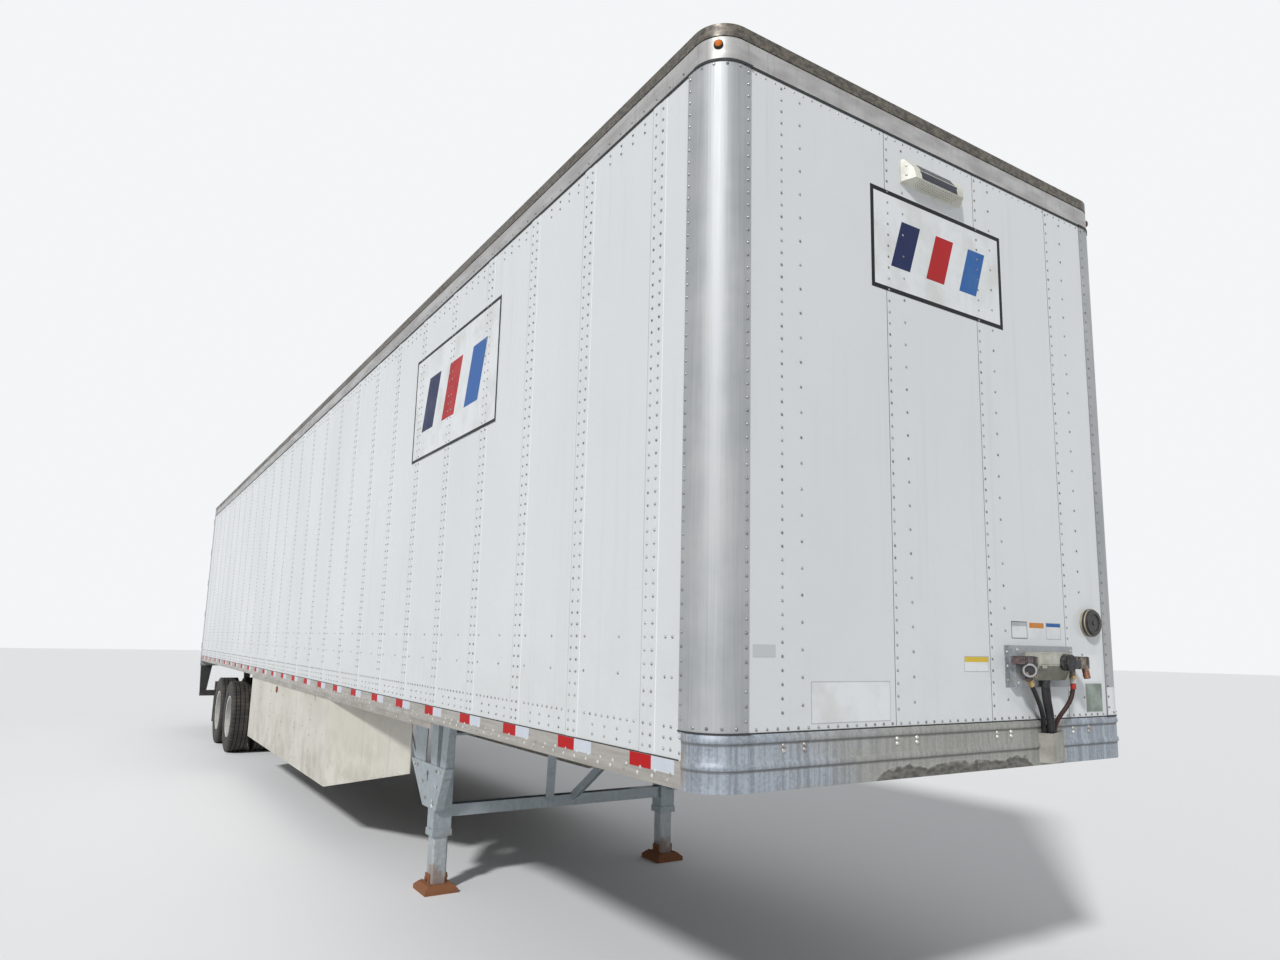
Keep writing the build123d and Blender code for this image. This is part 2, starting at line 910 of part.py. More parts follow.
# Side skirts
def skirt():
    """The left skirt: a straight panel, then one that turns in behind the landing leg."""
    bend = nose - skirt_bend_setback
    front = nose - skirt_front_setback
    front_inside = skirt_front_offset - skirt_thickness
    plan = [
        (skirt_rear, skirt_outside),
        (bend, skirt_outside),
        (front, skirt_front_offset),
        (front, front_inside),
        (bend, skirt_inside),
        (skirt_rear, skirt_inside),
    ]
    panel = flat_plate(plan, skirt_bottom, skirt_top)
    wedge = [
        (bend, skirt_bottom),
        (front + cut_margin, skirt_front_bottom),
        (front + cut_margin, skirt_bottom - cut_margin),
        (bend, skirt_bottom - cut_margin),
    ]
    return panel - side_plate(wedge, front_inside - cut_margin, skirt_outside + cut_margin)


def skirt_rail():
    """The angle under the left bottom rail that the skirt hangs from."""
    front = nose - skirt_rail_setback
    low = rail_bottom - skirt_rail_drop
    outside = skirt_outside + skirt_thickness
    inside = half_width - bottom_flange
    shape = block(skirt_rear, front, skirt_outside, outside, low, rail_bottom)
    return shape + block(skirt_rear, front, inside, outside, skirt_top, rail_bottom)


def skirt_struts():
    """Flat struts from the left skirt up to every third crossmember."""
    first = skirt_rear + strut_width
    last = nose - skirt_bend_setback - strut_width
    places = [x for x in crossmember_places() if first < x < last]
    foot_low, foot_high = strut_foot
    head_in, head_out = strut_head
    outline = [
        (skirt_inside, skirt_bottom + foot_low),
        (skirt_inside, skirt_bottom + foot_high),
        (head_out, crossmember_bottom),
        (head_in, crossmember_bottom),
    ]
    half = strut_width / 2
    return [cross_plate(outline, x - half, x + half) for x in places[::strut_spacing]]


# Sliding bogie
def slide_rail():
    """The left body rail that the bogie slides under, with a row of lock holes."""
    x0 = tail + slide_rail_rear_ahead
    x1 = tail + slide_rail_front_ahead
    out = slide_rail_offset
    web = out - slide_rail_plate
    low = rail_bottom - slide_rail_drop
    profile = [
        (out, crossmember_bottom),
        (out - slide_rail_top_width, crossmember_bottom),
        (out - slide_rail_top_width, rail_bottom),
        (web, rail_bottom),
        (web, low + slide_rail_plate),
        (out - slide_rail_lip, low + slide_rail_plate),
        (out - slide_rail_lip, low),
        (out, low),
    ]
    shape = cross_plate(profile, x0, x1)
    count = int((x1 - x0) / hole_pitch)
    z = rail_bottom - hole_drop
    holes = [
        rod((x1 - (i + 0.5) * hole_pitch, web - 1, z), (x1 - (i + 0.5) * hole_pitch, out + 1, z), hole_radius)
        for i in range(count)
    ]
    return shape - holes


def bogie_rail():
    """The left channel of the slider, open inwards, with its wear pads."""
    out = bogie_rail_offset
    web = out - slide_rail_plate
    inner = out - bogie_rail_width
    t = slide_rail_plate
    profile = [
        (out, bogie_rail_bottom),
        (out, bogie_rail_top),
        (inner, bogie_rail_top),
        (inner, bogie_rail_top - t),
        (web, bogie_rail_top - t),
        (web, bogie_rail_bottom + t),
        (inner, bogie_rail_bottom + t),
        (inner, bogie_rail_bottom),
    ]
    shape = cross_plate(profile, bogie_rear, bogie_front)
    near = inner + pad_inner_margin
    far = out - pad_outer_margin
    top = bogie_rail_top + pad_height
    for x in bogie_beam_places():
        shape += block(x - pad_half_length, x + pad_half_length, near, far, bogie_rail_top, top)
    return shape


def bogie_beam_places():
    places = []
    for axle in axle_places:
        places += [axle + pivot_ahead, axle - spring_behind]
    return places


def bogie_frame():
    """Two side channels, four cross beams and the flap bracket at the rear."""
    rail = bogie_rail()
    web = bogie_rail_offset - slide_rail_plate
    shape = rail + mirrored(rail)
    for x in bogie_beam_places():
        low = bogie_rail_bottom + cross_beam_inset
        high = bogie_rail_top - cross_beam_inset
        shape += block(x - cross_beam_half, x + cross_beam_half, -web, web, low, high)
    rear = bogie_rear - flap_arm_behind
    front = bogie_rear + flap_arm_ahead
    inside = beam_offset - flap_arm_half_width
    arm = block(rear, front, inside, beam_offset + flap_arm_half_width, flap_top, bogie_rail_bottom)
    cross = block(rear, rear + flap_bar, inside, flap_outside, flap_top, flap_top + flap_bar)
    return shape + arm + mirrored(arm) + cross + mirrored(cross)


def mud_flap():
    x = bogie_rear - flap_arm_behind
    return block(x - flap_thickness, x, flap_inside, flap_outside, flap_bottom, flap_top + flap_bar)


def axle(x):
    """A round axle with its spindles and brake backing plates."""
    spindle = hub_bore - spindle_clearance
    shoulder = hub_inner - spindle_shoulder_gap
    taper = drum_inner - axle_taper_gap
    profile = [
        (-spindle_end, 0),
        (-spindle_end, spindle),
        (-shoulder, spindle),
        (-taper, axle_radius),
        (taper, axle_radius),
        (shoulder, spindle),
        (spindle_end, spindle),
        (spindle_end, 0),
    ]
    shape = turned(profile, x, tyre_radius)
    outer = drum_inner - backing_plate_gap
    radius = drum_radius - drum_wall - backing_plate_clearance
    for side in (-1, 1):
        near, far = sorted((side * (outer - backing_plate_thickness), side * outer))
        shape += rod((x, near, tyre_radius), (x, far, tyre_radius), radius)
    return shape


def suspension(axle_x):
    """The left hanger and the trailing beam pinned in it, which carries the axle."""
    pivot = axle_x + pivot_ahead
    y0 = beam_offset - hanger_width / 2
    y1 = beam_offset + hanger_width / 2
    foot = pivot_height - hanger_foot_drop
    outline = [
        (pivot + hanger_top_half, bogie_rail_bottom),
        (pivot - hanger_top_half, bogie_rail_bottom),
        (pivot - hanger_foot_behind, foot),
        (pivot + hanger_foot_ahead, foot),
    ]
    open_rear = pivot - hanger_top_half - cut_margin
    hollow_top = bogie_rail_bottom - hanger_wall
    hollow_foot = pivot_height - hanger_hollow_drop
    hollow = [
        (pivot + hanger_top_half - hanger_front_wall, hollow_top),
        (open_rear, hollow_top),
        (open_rear, hollow_foot),
        (pivot + hanger_foot_ahead - hanger_front_wall, hollow_foot),
    ]
    shape = side_plate(outline, y0, y1) - side_plate(hollow, y0 + hanger_wall, y1 - hanger_wall)
    seat = spring_seat_height
    arm_end = -spring_behind - beam_arm_overhang
    # columns: distance ahead of the axle, height
    beam = [
        (pivot_ahead, pivot_height + beam_eye_radius),
        (beam_hump_ahead, tyre_radius + beam_hump_rise),
        (-beam_hump_behind, tyre_radius + beam_hump_rise),
        (-beam_arm_start, seat),
        (arm_end, seat),
        (arm_end, seat - beam_arm_depth),
        (-beam_knee, seat - beam_knee_drop),
        (-beam_belly_half, tyre_radius - beam_belly_drop),
        (beam_belly_half, tyre_radius - beam_belly_drop),
        (pivot_ahead, pivot_height - beam_eye_radius),
    ]
    near = beam_offset - beam_width / 2
    far = beam_offset + beam_width / 2
    body = side_plate([(axle_x + x, z) for x, z in beam], near, far)
    body += rod((pivot, near, pivot_height), (pivot, far, pivot_height), beam_eye_radius)
    body -= rod((axle_x, y0, tyre_radius), (axle_x, y1, tyre_radius), axle_radius)
    pin = rod((pivot, y0, pivot_height), (pivot, y1, pivot_height), beam_pin_radius)
    return shape + pin + body


def air_spring(axle_x):
    """The left air spring between the beam's rear end and the slider channel."""
    x = axle_x - spring_behind
    bellow_low = spring_seat_height + spring_piston_height
    bellow_top = rail_bottom - slide_rail_drop - spring_top_gap
    piston = extrude(Circle(spring_piston_radius), spring_piston_height)
    shape = Pos(x, beam_offset, spring_seat_height) * piston
    bellow = Pos(x, beam_offset, bellow_low) * extrude(Circle(spring_radius), bellow_top - bellow_low)
    shape += fillet(bellow.edges().filter_by(GeomType.CIRCLE), spring_round)
    y0 = beam_offset - hanger_width / 2
    y1 = beam_offset + hanger_width / 2
    half = spring_bracket_half
    return shape + block(x - half, x + half, y0, y1, bellow_top, bogie_rail_bottom)


def brake_chamber(axle_x):
    """The left double brake chamber ahead of the axle, on its bracket."""
    y = chamber_offset
    z = tyre_radius + chamber_rise
    x = axle_x + chamber_ahead
    near = y - chamber_bracket_half
    far = y + chamber_bracket_half
    low = tyre_radius + axle_radius - chamber_bracket_overlap
    shape = block(axle_x - chamber_bracket_behind, x, near, far, low, z + chamber_bracket_rise)
    for length, radius in chamber_sections:
        shape += rod((x, y, z), (x + length, y, z), radius)
        x += length
    return shape - rod((axle_x, near, tyre_radius), (axle_x, far, tyre_radius), axle_radius)


def lock_pins():
    """The slider's lock pins, withdrawn into the channels, with their pull bar."""
    z = rail_bottom - hole_drop
    web = bogie_rail_offset - slide_rail_plate
    pins = []
    for x in (bogie_front - lock_pin_inset, bogie_rear + lock_pin_inset):
        for side in (-1, 1):
            start = (x, side * (web - lock_pin_length), z)
            pins.append(rod(start, (x, side * web, z), hole_radius - lock_pin_clearance))
    return pins


def air_tank():
    """The air reservoir behind the slider's front cross beam, on two brackets."""
    beam = bogie_beam_places()[0] - cross_beam_half
    x = beam - tank_bracket_reach - tank_radius
    z = bogie_rail_bottom
    shape = rod((x, -tank_half_length, z), (x, tank_half_length, z), tank_radius)
    shape = fillet(shape.edges().filter_by(GeomType.CIRCLE), tank_end_round)
    low = bogie_rail_bottom + cross_beam_inset + tank_bracket_foot
    for side in (-1, 1):
        y = side * tank_bracket_share * tank_half_length
        shape += block(x, beam, y - sheet_metal, y + sheet_metal, low, low + tank_bracket_height)
    return shape


# Wheels
def tyre(y):
    """A tyre centred at y on the first axle line, as a solid of revolution."""
    half = tyre_width / 2
    points = [
        (bead_radius, -rim_half_width),
        (bead_radius, rim_half_width),
        (bead_radius + sidewall_rise, half),
        (tyre_radius, half - tread_inset),
        (tyre_radius, tread_inset - half),
        (bead_radius + sidewall_rise, -half),
    ]
    flat = make_face(Polyline(*points, close=True))
    shoulders = flat.vertices().group_by(Axis.X)[-1]
    flat = fillet(shoulders, tyre_shoulder)
    return Pos(0, y, 0) * revolve(flat, Axis.Y)


def ring(y0, y1, inner, outer):
    return turned([(y0, inner), (y1, inner), (y1, outer), (y0, outer)], 0, 0)


def wheel():
    """The dual wheel of the left side at the origin: two rims, drum and hub."""
    cap_start = hub_outer - hub_cap_length
    shape = ring(hub_inner, cap_start, hub_bore, hub_body_radius)
    shape += ring(cap_start, hub_outer, 0, hub_cap_radius)
    shape += ring(drum_outer, wheel_middle - disc_thickness, hub_bore, hub_flange_radius)
    shape += ring(drum_outer - drum_wall, drum_outer, drum_bore, drum_radius)
    shape += ring(drum_inner, drum_outer, drum_radius - drum_wall, drum_radius)
    for side in (-1, 1):
        centre = wheel_middle + side * dual_spacing / 2
        barrel = rim_radius - rim_wall
        shape += ring(centre - rim_half_width, centre + rim_half_width, barrel, rim_radius)
        root = wheel_middle + side * disc_reach
        t = side * disc_thickness
        disc_edge = rim_radius - disc_rim_overlap
        disc = [
            (wheel_middle, disc_bore),
            (wheel_middle + t, disc_bore),
            (wheel_middle + t, disc_flat_radius),
            (root + t, disc_edge),
            (root, disc_edge),
            (wheel_middle, disc_flat_outer),
        ]
        shape += turned(disc, 0, 0)
    for i in range(hand_hole_count):
        hole = rod((0, hub_inner, hand_hole_circle), (0, hub_outer, hand_hole_circle), hand_hole_radius)
        shape -= Rot(0, i * 360 / hand_hole_count, 0) * hole
    return shape


# Front fittings
def nose_plate():
    """The raised plate that carries the couplings, with a flange on its right side."""
    left, right, low, high = nose_plate_box
    sheet = front_face + sheet_metal
    plan = [
        (front_face, left),
        (sheet, left),
        (sheet, left + nose_plate_flange),
        (plate_front, left + nose_plate_flange),
        (plate_front, right),
        (front_face, right),
    ]
    return flat_plate(plan, rail_bottom + low, rail_bottom + high)


def connector_box():
    """The box of the electric socket, with a slanted lower face."""
    left, right, low, high = connector_box_box
    z0 = rail_bottom + low
    z1 = rail_bottom + high
    outline = [
        (plate_front, z0),
        (plate_front + connector_box_shelf, z0),
        (box_front, z0 + connector_box_slant),
        (box_front, z1),
        (plate_front, z1),
    ]
    return side_plate(outline, left, right)


def turned_coupling():
    """An air coupling whose round face is turned towards the right side."""
    y, height = coupling_face_place
    z = rail_bottom + coupling_body_height
    face = Vector(front_face + coupling_face_reach, y, rail_bottom + height)
    out = Vector(*coupling_face_turn).normalized()
    back = face - out * coupling_face_radius
    shape = rod(back, face, coupling_face_radius)
    shape -= rod(face - out * coupling_face_recess, face + out, coupling_face_radius - coupling_face_rim)
    left, right, half, reach = coupling_body
    shape += block(plate_front, coupling_x + reach, left, right, z - half, z + half)
    (face_behind, face_y), (outlet_behind, outlet_y) = coupling_stem_ends
    shape += rod(back, (coupling_x - face_behind, face_y, z), coupling_stem_radius)
    start = coupling_outlet - coupling_outlet_lean * coupling_outlet_length
    shape += rod(start, coupling_outlet, coupling_stem_radius)
    return shape + rod(start, (coupling_x - outlet_behind, outlet_y, z), coupling_stem_radius)


def capped_coupling():
    """An air coupling with a round cap in front of the box and an outlet beside it."""
    y, height = coupling_cap_place
    z = rail_bottom + height
    cap = rod((box_front, y, z), (box_front + coupling_cap_depth, y, z), coupling_cap_radius)
    link_reach, left, right, low, high = capped_link
    link = block(box_front, box_front + link_reach, left, right, z + low, z + high)
    body_reach, left, right, low, high = capped_body
    body = block(plate_front, box_front + body_reach, left, right, z + low, z + high)
    outlet = rod(capped_outlet + Vector(0, 0, capped_outlet_length), capped_outlet, coupling_stem_radius)
    (start_y, start_z), (end_y, end_z) = spout_start, spout_end
    start = (box_front, start_y, z + start_z)
    spout = rod(start, (box_front + body_reach, end_y, z + end_z), spout_radius)
    return cap + link + body + outlet + spout


def hose(points, radius):
    """A round line along straight runs with the widest bends that they allow."""
    route = [Vector(*point) for point in points]
    bends = []
    for before, here, after in zip(route, route[1:], route[2:]):
        turn = radians((here - before).get_angle(after - here))
        bends.append(0.45 * min((here - before).length, (after - here).length) / tan(turn / 2))
    print("bend radii", [round(bend) for bend in bends])
    path = FilletPolyline(*route, radius=bends)
    section = Plane(origin=route[0], z_dir=route[1] - route[0]) * Circle(radius)
    tube = sweep(section, path=path)
    print("volume over section times length", round(tube.volume / (section.area * path.length), 4))
    return tube


def drop(points):
    """Route points given as distance from the nose, place across and height over the rail's bottom."""
    return [(nose + out, y, rail_bottom + height) for out, y, height in points]


def left_air_line():
    start = coupling_outlet
    second = start + coupling_outlet_lean * 110
    rest = drop([(34, 541, 227), (14, 574, 165), (12, 580, 90), (12, 580, pocket_floor)])
    return hose([start, second] + rest, air_line_radius)


def right_air_line():
    middle = drop([(81, 712, 322), (68, 680, 262), (46, 638, 208), (17, 646, 158), (12, 657, 87)])
    return hose([capped_outlet] + middle + drop([(12, 657, pocket_floor)]), air_line_radius)


def left_cable():
    low = connector_box_box[2]
    x = box_shelf_middle
    points = [(x, 543, low), (x, 543, 304), (50, 556, 232), (34, 592, 165), (14, 606, 91)]
    return hose(drop(points + [(14, 606, pocket_floor)]), cable_radius)


def right_cable():
    low = connector_box_box[2]
    x = box_shelf_middle
    points = [(x, 570, low), (x, 570, 304), (46, 585, 232), (26, 620, 165), (14, 632, 91)]
    return hose(drop(points + [(14, 632, pocket_floor)]), cable_radius)


def line_pocket():
    """The folded cover on the bumper that the lines drop into."""
    plan = [(nose, pocket_left), (nose + pocket_depth, pocket_fold), (nose, pocket_right)]
    low = rail_bottom + pocket_bottom
    high = rail_bottom + pocket_top
    outside = flat_plate(plan, low, high)
    sheet = Pos(0, 0, low) * extrude(trace(Polyline(*plan), 2 * pocket_wall), high - low)
    return (outside & sheet) + flat_plate(plan, low, low + pocket_wall)


def document_holder():
    """The round document holder: base tube and cap."""
    y = half_width - holder_inset
    z = rail_bottom + holder_height
    x = front_face + holder_depth
    base = rod((front_face, y, z), (x, y, z), holder_radius)
    cap = rod((x, y, z), (x + holder_cap_depth, y, z), holder_cap_radius)
    inside = holder_cap_radius - holder_cap_rim
    cap -= rod((x + holder_cap_recess, y, z), (x + holder_cap_depth, y, z), inside)
    return base + cap


def sensor_unit():
    """The position sensor's housing, with slanted ends and a slanted face for its solar cell."""
    left, right, low, high = sensor_box
    out = front_face + sensor_depth
    z0 = rail_bottom + low
    z1 = rail_bottom + high
    outline = [
        (front_face, z0),
        (out, z0 + sensor_chin),
        (out - sensor_lean, z0 + sensor_face_top),
        (front_face + sensor_top_depth, z1),
        (front_face, z1),
    ]
    shape = side_plate(outline, left, right)
    root = front_face + sensor_end_root
    for side, edge in ((1, left), (-1, right)):
        cut = [(root, edge), (out + 1, edge), (out + 1, edge + side * sensor_end_run)]
        shape -= flat_plate(cut, z0 - 1, z1 + 1)
    return shape


# Lamps
def marker_lamps():
    """Two on the nose's corners, three in the middle of the header, and one pair on each side."""
    lamps = []
    z = header_bottom + nose_lamp_rise
    for y in nose_lamp_places:
        lamps.append(rod((nose, y, z), (nose + marker_depth, y, z), marker_radius))
    centre = (nose - corner_radius, half_width - corner_radius)
    lean = corner_radius * 0.5**0.5
    out = (corner_radius + marker_depth) * 0.5**0.5
    start = (centre[0] + lean, centre[1] + lean, z)
    end = (centre[0] + out, centre[1] + out, z)
    lamps += pair(rod(start, end, marker_radius))
    low = rail_bottom - skirt_lamp_drop
    bend = nose - skirt_bend_setback
    x = bend - skirt_lamp_share * (bend - skirt_rear)
    start = (x, skirt_outside, low)
    side_out = half_width + side_lamp_reach
    lamps += pair(rod(start, (x, side_out, low), marker_radius))
    x = tail + rear_side_lamp_ahead
    z = rail_bottom + bottom_rail_height / 2
    lamps += pair(rod((x, half_width, z), (x, side_out, z), marker_radius))
    return lamps


def rear_lamps():
    """Round lamps in the sill's pockets and small ones on the header."""
    lamps = []
    for y in rear_lamp_places:
        start = (frame_rear - rear_lamp_reach, y, rear_lamp_height)
        lamps += pair(rod(start, (frame_rear + marker_depth, y, rear_lamp_height), rear_lamp_radius))
    z = (opening_top + roof_seat) / 2 + header_lamp_offset
    for y in (0, header_lamp_spread, half_width - header_lamp_inset):
        lamp = rod((frame_rear - marker_depth, y, z), (frame_rear, y, z), marker_radius)
        lamps += [lamp] if y == 0 else pair(lamp)
    return lamps


save("front_bumper", front_bumper())
save("front_header", front_header())
save("corner_posts", *pair(corner_post()))
save("bottom_rails", *pair(bottom_rail()))
save("top_rails", *pair(top_rail()))
save("side_walls", *pair(side_wall()))
save("front_wall", front_wall())
save("roof", roof())
save("floor", floor())
save("crossmembers", *[crossmember(x) for x in crossmember_places()])
bow_count = int((rail_front - rail_rear - roof_bow_width / 2) / post_pitch)
save("roof_bows", *[roof_bow(rail_front - i * post_pitch) for i in range(1, bow_count + 1)])
save("kingpin", kingpin())
save("coupler_plate", coupler_plate())
save("rear_frame", rear_frame())
save("rear_guard", rear_guard())
save("dock_bumpers", *pair(dock_bumper()))
save("slide_rails", *pair(slide_rail()))

save("landing_legs", *pair(landing_leg()))
save("inner_legs", *pair(inner_leg_tube()))
save("leg_shoes", *pair(leg_shoe()))
save("leg_brackets", *pair(leg_bracket()))
save("leg_cross_brace", leg_cross_brace())
save("leg_crank_shaft", *leg_crank_shaft())

save("skirts", *pair(skirt()))
save("skirt_rails", *pair(skirt_rail()))
left_struts = skirt_struts()
save("skirt_struts", *left_struts, *[mirrored(strut) for strut in left_struts])

save("nose_plate", nose_plate())
save("connector_box", connector_box())
save("air_couplings", turned_coupling(), capped_coupling())
save("left_air_line", left_air_line())
save("left_cable", left_cable())
save("right_cable", right_cable())
save("right_air_line", right_air_line())
save("line_pocket", line_pocket())
save("document_holder", document_holder())
save("sensor_unit", sensor_unit())
save("marker_lamps", *marker_lamps())
save("rear_lamps", *rear_lamps())

save("left_door", door())
save("right_door", mirrored(door()))
left_hardware = door_hardware()
save("left_door_hardware", *left_hardware)
save("right_door_hardware", *[mirrored(piece) for piece in left_hardware])

save("bogie_frame", bogie_frame())
save("axles", *[axle(x) for x in axle_places])
save("suspension", *[piece for x in axle_places for piece in pair(suspension(x))])
save("air_springs", *[piece for x in axle_places for piece in pair(air_spring(x))])
save("brake_chambers", *[piece for x in axle_places for piece in pair(brake_chamber(x))])
save("mud_flaps", *pair(mud_flap()))
save("lock_pins", *lock_pins())
save("air_tank", air_tank())

left_wheel = wheel()
left_tyres = [tyre(wheel_middle + side * dual_spacing / 2) for side in (-1, 1)]
for place, x in zip(("front", "rear"), axle_places):
    at_axle = Pos(x, 0, tyre_radius)
    save("left_" + place + "_wheel", at_axle * left_wheel)
    save("right_" + place + "_wheel", mirrored(at_axle * left_wheel))
    save("left_" + place + "_tyres", *[at_axle * shape for shape in left_tyres])
    save("right_" + place + "_tyres", *[mirrored(at_axle * shape) for shape in left_tyres])
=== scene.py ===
import bpy
import bmesh
import math
from mathutils import Matrix, Vector


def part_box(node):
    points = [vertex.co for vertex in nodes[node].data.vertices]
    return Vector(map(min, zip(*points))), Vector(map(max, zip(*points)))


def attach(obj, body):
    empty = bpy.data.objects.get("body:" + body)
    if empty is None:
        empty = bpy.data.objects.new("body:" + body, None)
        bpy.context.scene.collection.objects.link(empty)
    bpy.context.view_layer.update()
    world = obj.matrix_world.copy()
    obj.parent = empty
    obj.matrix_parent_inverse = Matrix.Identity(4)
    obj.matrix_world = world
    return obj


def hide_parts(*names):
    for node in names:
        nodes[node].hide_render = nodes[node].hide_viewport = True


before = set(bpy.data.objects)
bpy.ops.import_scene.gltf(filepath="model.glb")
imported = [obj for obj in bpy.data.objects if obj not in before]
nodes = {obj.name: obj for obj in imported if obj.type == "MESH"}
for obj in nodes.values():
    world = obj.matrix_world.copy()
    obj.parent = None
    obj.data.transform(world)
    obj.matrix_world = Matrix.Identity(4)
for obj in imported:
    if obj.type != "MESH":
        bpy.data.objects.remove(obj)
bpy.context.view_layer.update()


# Camera: a phone held low in front of the trailer's right front corner, with a wide lens.
# Its place is measured from the nose and from the bottom of the rails.
def placed(name, data):
    """A new object in the scene."""
    made = bpy.data.objects.new(name, data)
    bpy.context.scene.collection.objects.link(made)
    return made


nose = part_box("front_bumper")[1].x
rail_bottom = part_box("bottom_rails")[0].z
camera_yaw = math.radians(147.139)
camera_pitch = math.radians(9.009)
camera_roll = math.radians(-1.2215)
picture_width = 1280
picture_height = 960
focal_pixels = 857.31
lens_axis = (655.45, 507.16)
camera_data = bpy.data.cameras.new("Camera")
camera_data.sensor_width = 36
camera_data.lens = focal_pixels / picture_width * camera_data.sensor_width
camera_data.shift_x = (picture_width / 2 - lens_axis[0]) / picture_width
camera_data.shift_y = (lens_axis[1] - picture_height / 2) / picture_width
camera_data.clip_end = 200
camera = placed("Camera", camera_data)
forward = Vector((
    math.cos(camera_pitch) * math.cos(camera_yaw),
    math.cos(camera_pitch) * math.sin(camera_yaw),
    math.sin(camera_pitch),
))
level = forward.cross(Vector((0, 0, 1))).normalized()
down = forward.cross(level)
camera_right = math.cos(camera_roll) * level + math.sin(camera_roll) * down
camera_down = math.cos(camera_roll) * down - math.sin(camera_roll) * level
turn = Matrix((camera_right, -camera_down, -forward)).transposed().to_4x4()
camera.matrix_world = Matrix.Translation((nose + 2.39285, -3.07896, rail_bottom + 0.50555)) @ turn
bpy.context.scene.camera = camera


# Air lines and cables: two rubber air lines and two jacketed cables, which hang from their
# couplings and drop into the folded cover on the bumper. They are stiff and 20 to 24 mm thick.
def put(tree, kind, settings=None, **values):
    """Adds a node; a value is set on the input of that name, and an output is linked to it."""
    node = tree.nodes.new(kind)
    for key, value in (settings or {}).items():
        setattr(node, key, value)
    for key, value in values.items():
        fill(tree, node.inputs[key.replace("_", " ")], value)
    return node


def fill(tree, socket, value):
    if isinstance(value, bpy.types.NodeSocket):
        tree.links.new(value, socket)
    else:
        socket.default_value = value


def calc(operation, *values):
    """A Math node over outputs and numbers, in the tree of the outputs, and its result."""
    tree = next(value for value in values if isinstance(value, bpy.types.NodeSocket)).id_data
    node = tree.nodes.new("ShaderNodeMath")
    node.operation = operation
    for socket, value in zip(node.inputs, values):
        fill(tree, socket, value)
    return node.outputs[0]


def fade(value, low, high, start=0.0, end=1.0):
    """Start below low, end above high, and a smooth step between them."""
    tree = value.id_data
    node = put(tree, "ShaderNodeMapRange", {"interpolation_type": "SMOOTHSTEP"}, Value=value)
    for name, number in (("From Min", low), ("From Max", high), ("To Min", start), ("To Max", end)):
        fill(tree, node.inputs[name], number)
    return node.outputs["Result"]


def blend(factor, first, second):
    """The first colour where the factor is 0 and the second where it is 1."""
    tree = factor.id_data
    node = tree.nodes.new("ShaderNodeMix")
    node.data_type = "RGBA"
    fill(tree, node.inputs[0], factor)
    for socket, colour in ((node.inputs[6], first), (node.inputs[7], second)):
        fill(tree, socket, colour if isinstance(colour, bpy.types.NodeSocket) else (*colour, 1))
    return node.outputs[2]


def here(tree):
    """The place on the part, in its own coordinates."""
    return put(tree, "ShaderNodeTexCoord").outputs["Object"]


def axes(place):
    """The x, y and z of a place."""
    return put(place.id_data, "ShaderNodeSeparateXYZ", Vector=place).outputs


def noise(tree, stretch, scale, detail=2.0, rough=0.5):
    """Noise over the part's own coordinates, stretched along x, y and z."""
    spread = put(tree, "ShaderNodeMapping", Vector=here(tree), Scale=stretch).outputs[0]
    node = put(tree, "ShaderNodeTexNoise", Vector=spread, Scale=scale, Detail=detail, Roughness=rough)
    return node.outputs[0]


def finish_of(name, roughness=0.5, metallic=0.0, **values):
    """A new material with its tree and its Principled shader."""
    made = bpy.data.materials.new(name)
    made.use_nodes = True
    shader = made.node_tree.nodes["Principled BSDF"]
    shader.inputs["Roughness"].default_value = roughness
    shader.inputs["Metallic"].default_value = metallic
    for key, value in values.items():
        shader.inputs[key.replace("_", " ")].default_value = value
    return made, made.node_tree, shader


def coat(shader, colour, rough=None):
    """Feeds the shader its colour and, where it varies, its roughness."""
    tree = shader.id_data
    tree.links.new(colour, shader.inputs["Base Color"])
    if rough is not None:
        tree.links.new(rough, shader.inputs["Roughness"])


def relief(shader, height, distance):
    """Feeds a height to the shader as a bump of that depth in metres."""
    tree = shader.id_data
    bump = put(tree, "ShaderNodeBump", Height=height, Distance=distance)
    tree.links.new(bump.outputs[0], shader.inputs["Normal"])


def shader_group(name, inputs, outputs):
    """A shader node group with named sockets; columns: name, kind and default."""
    group = bpy.data.node_groups.new(name, "ShaderNodeTree")
    for title, kind, value in inputs:
        socket = group.interface.new_socket(title, in_out="INPUT", socket_type="NodeSocket" + kind)
        socket.default_value = value
    for title, kind in outputs:
        group.interface.new_socket(title, in_out="OUTPUT", socket_type="NodeSocket" + kind)
    return group, group.nodes.new("NodeGroupInput").outputs, group.nodes.new("NodeGroupOutput").inputs


def use_group(tree, group, **values):
    """Places a group in a material with its own values, and its outputs."""
    node = tree.nodes.new("ShaderNodeGroup")
    node.node_tree = group
    for key, value in values.items():
        fill(tree, node.inputs[key.replace("_", " ")], value)
    return node.outputs


# Dust lies thickest low down and in soft patches.
dust_group, given, out = shader_group("Dust", (("Bottom", "Float", 0.0), ("Top", "Float", 2.0),
                                               ("Patch scale", "Float", 3.0), ("Amount", "Float", 0.5)),
                                      (("Mask", "Float"),))
place = here(dust_group)
height = axes(place)[2]
patches = put(
    dust_group, "ShaderNodeTexNoise", Vector=place, Scale=given["Patch scale"], Detail=5.0, Roughness=0.62
).outputs[0]
low_down = fade(height, given["Bottom"], given["Top"], 1.0, 0.25)
soft = fade(patches, 0.38, 0.68)
dust_group.links.new(calc("MULTIPLY", calc("MULTIPLY", low_down, soft), given["Amount"]), out["Mask"])


def dusted(tree, bottom, top, patch_scale, amount):
    """Where dust lies between two heights."""
    return use_group(tree, dust_group, Bottom=bottom, Top=top, Patch_scale=patch_scale, Amount=amount)["Mask"]


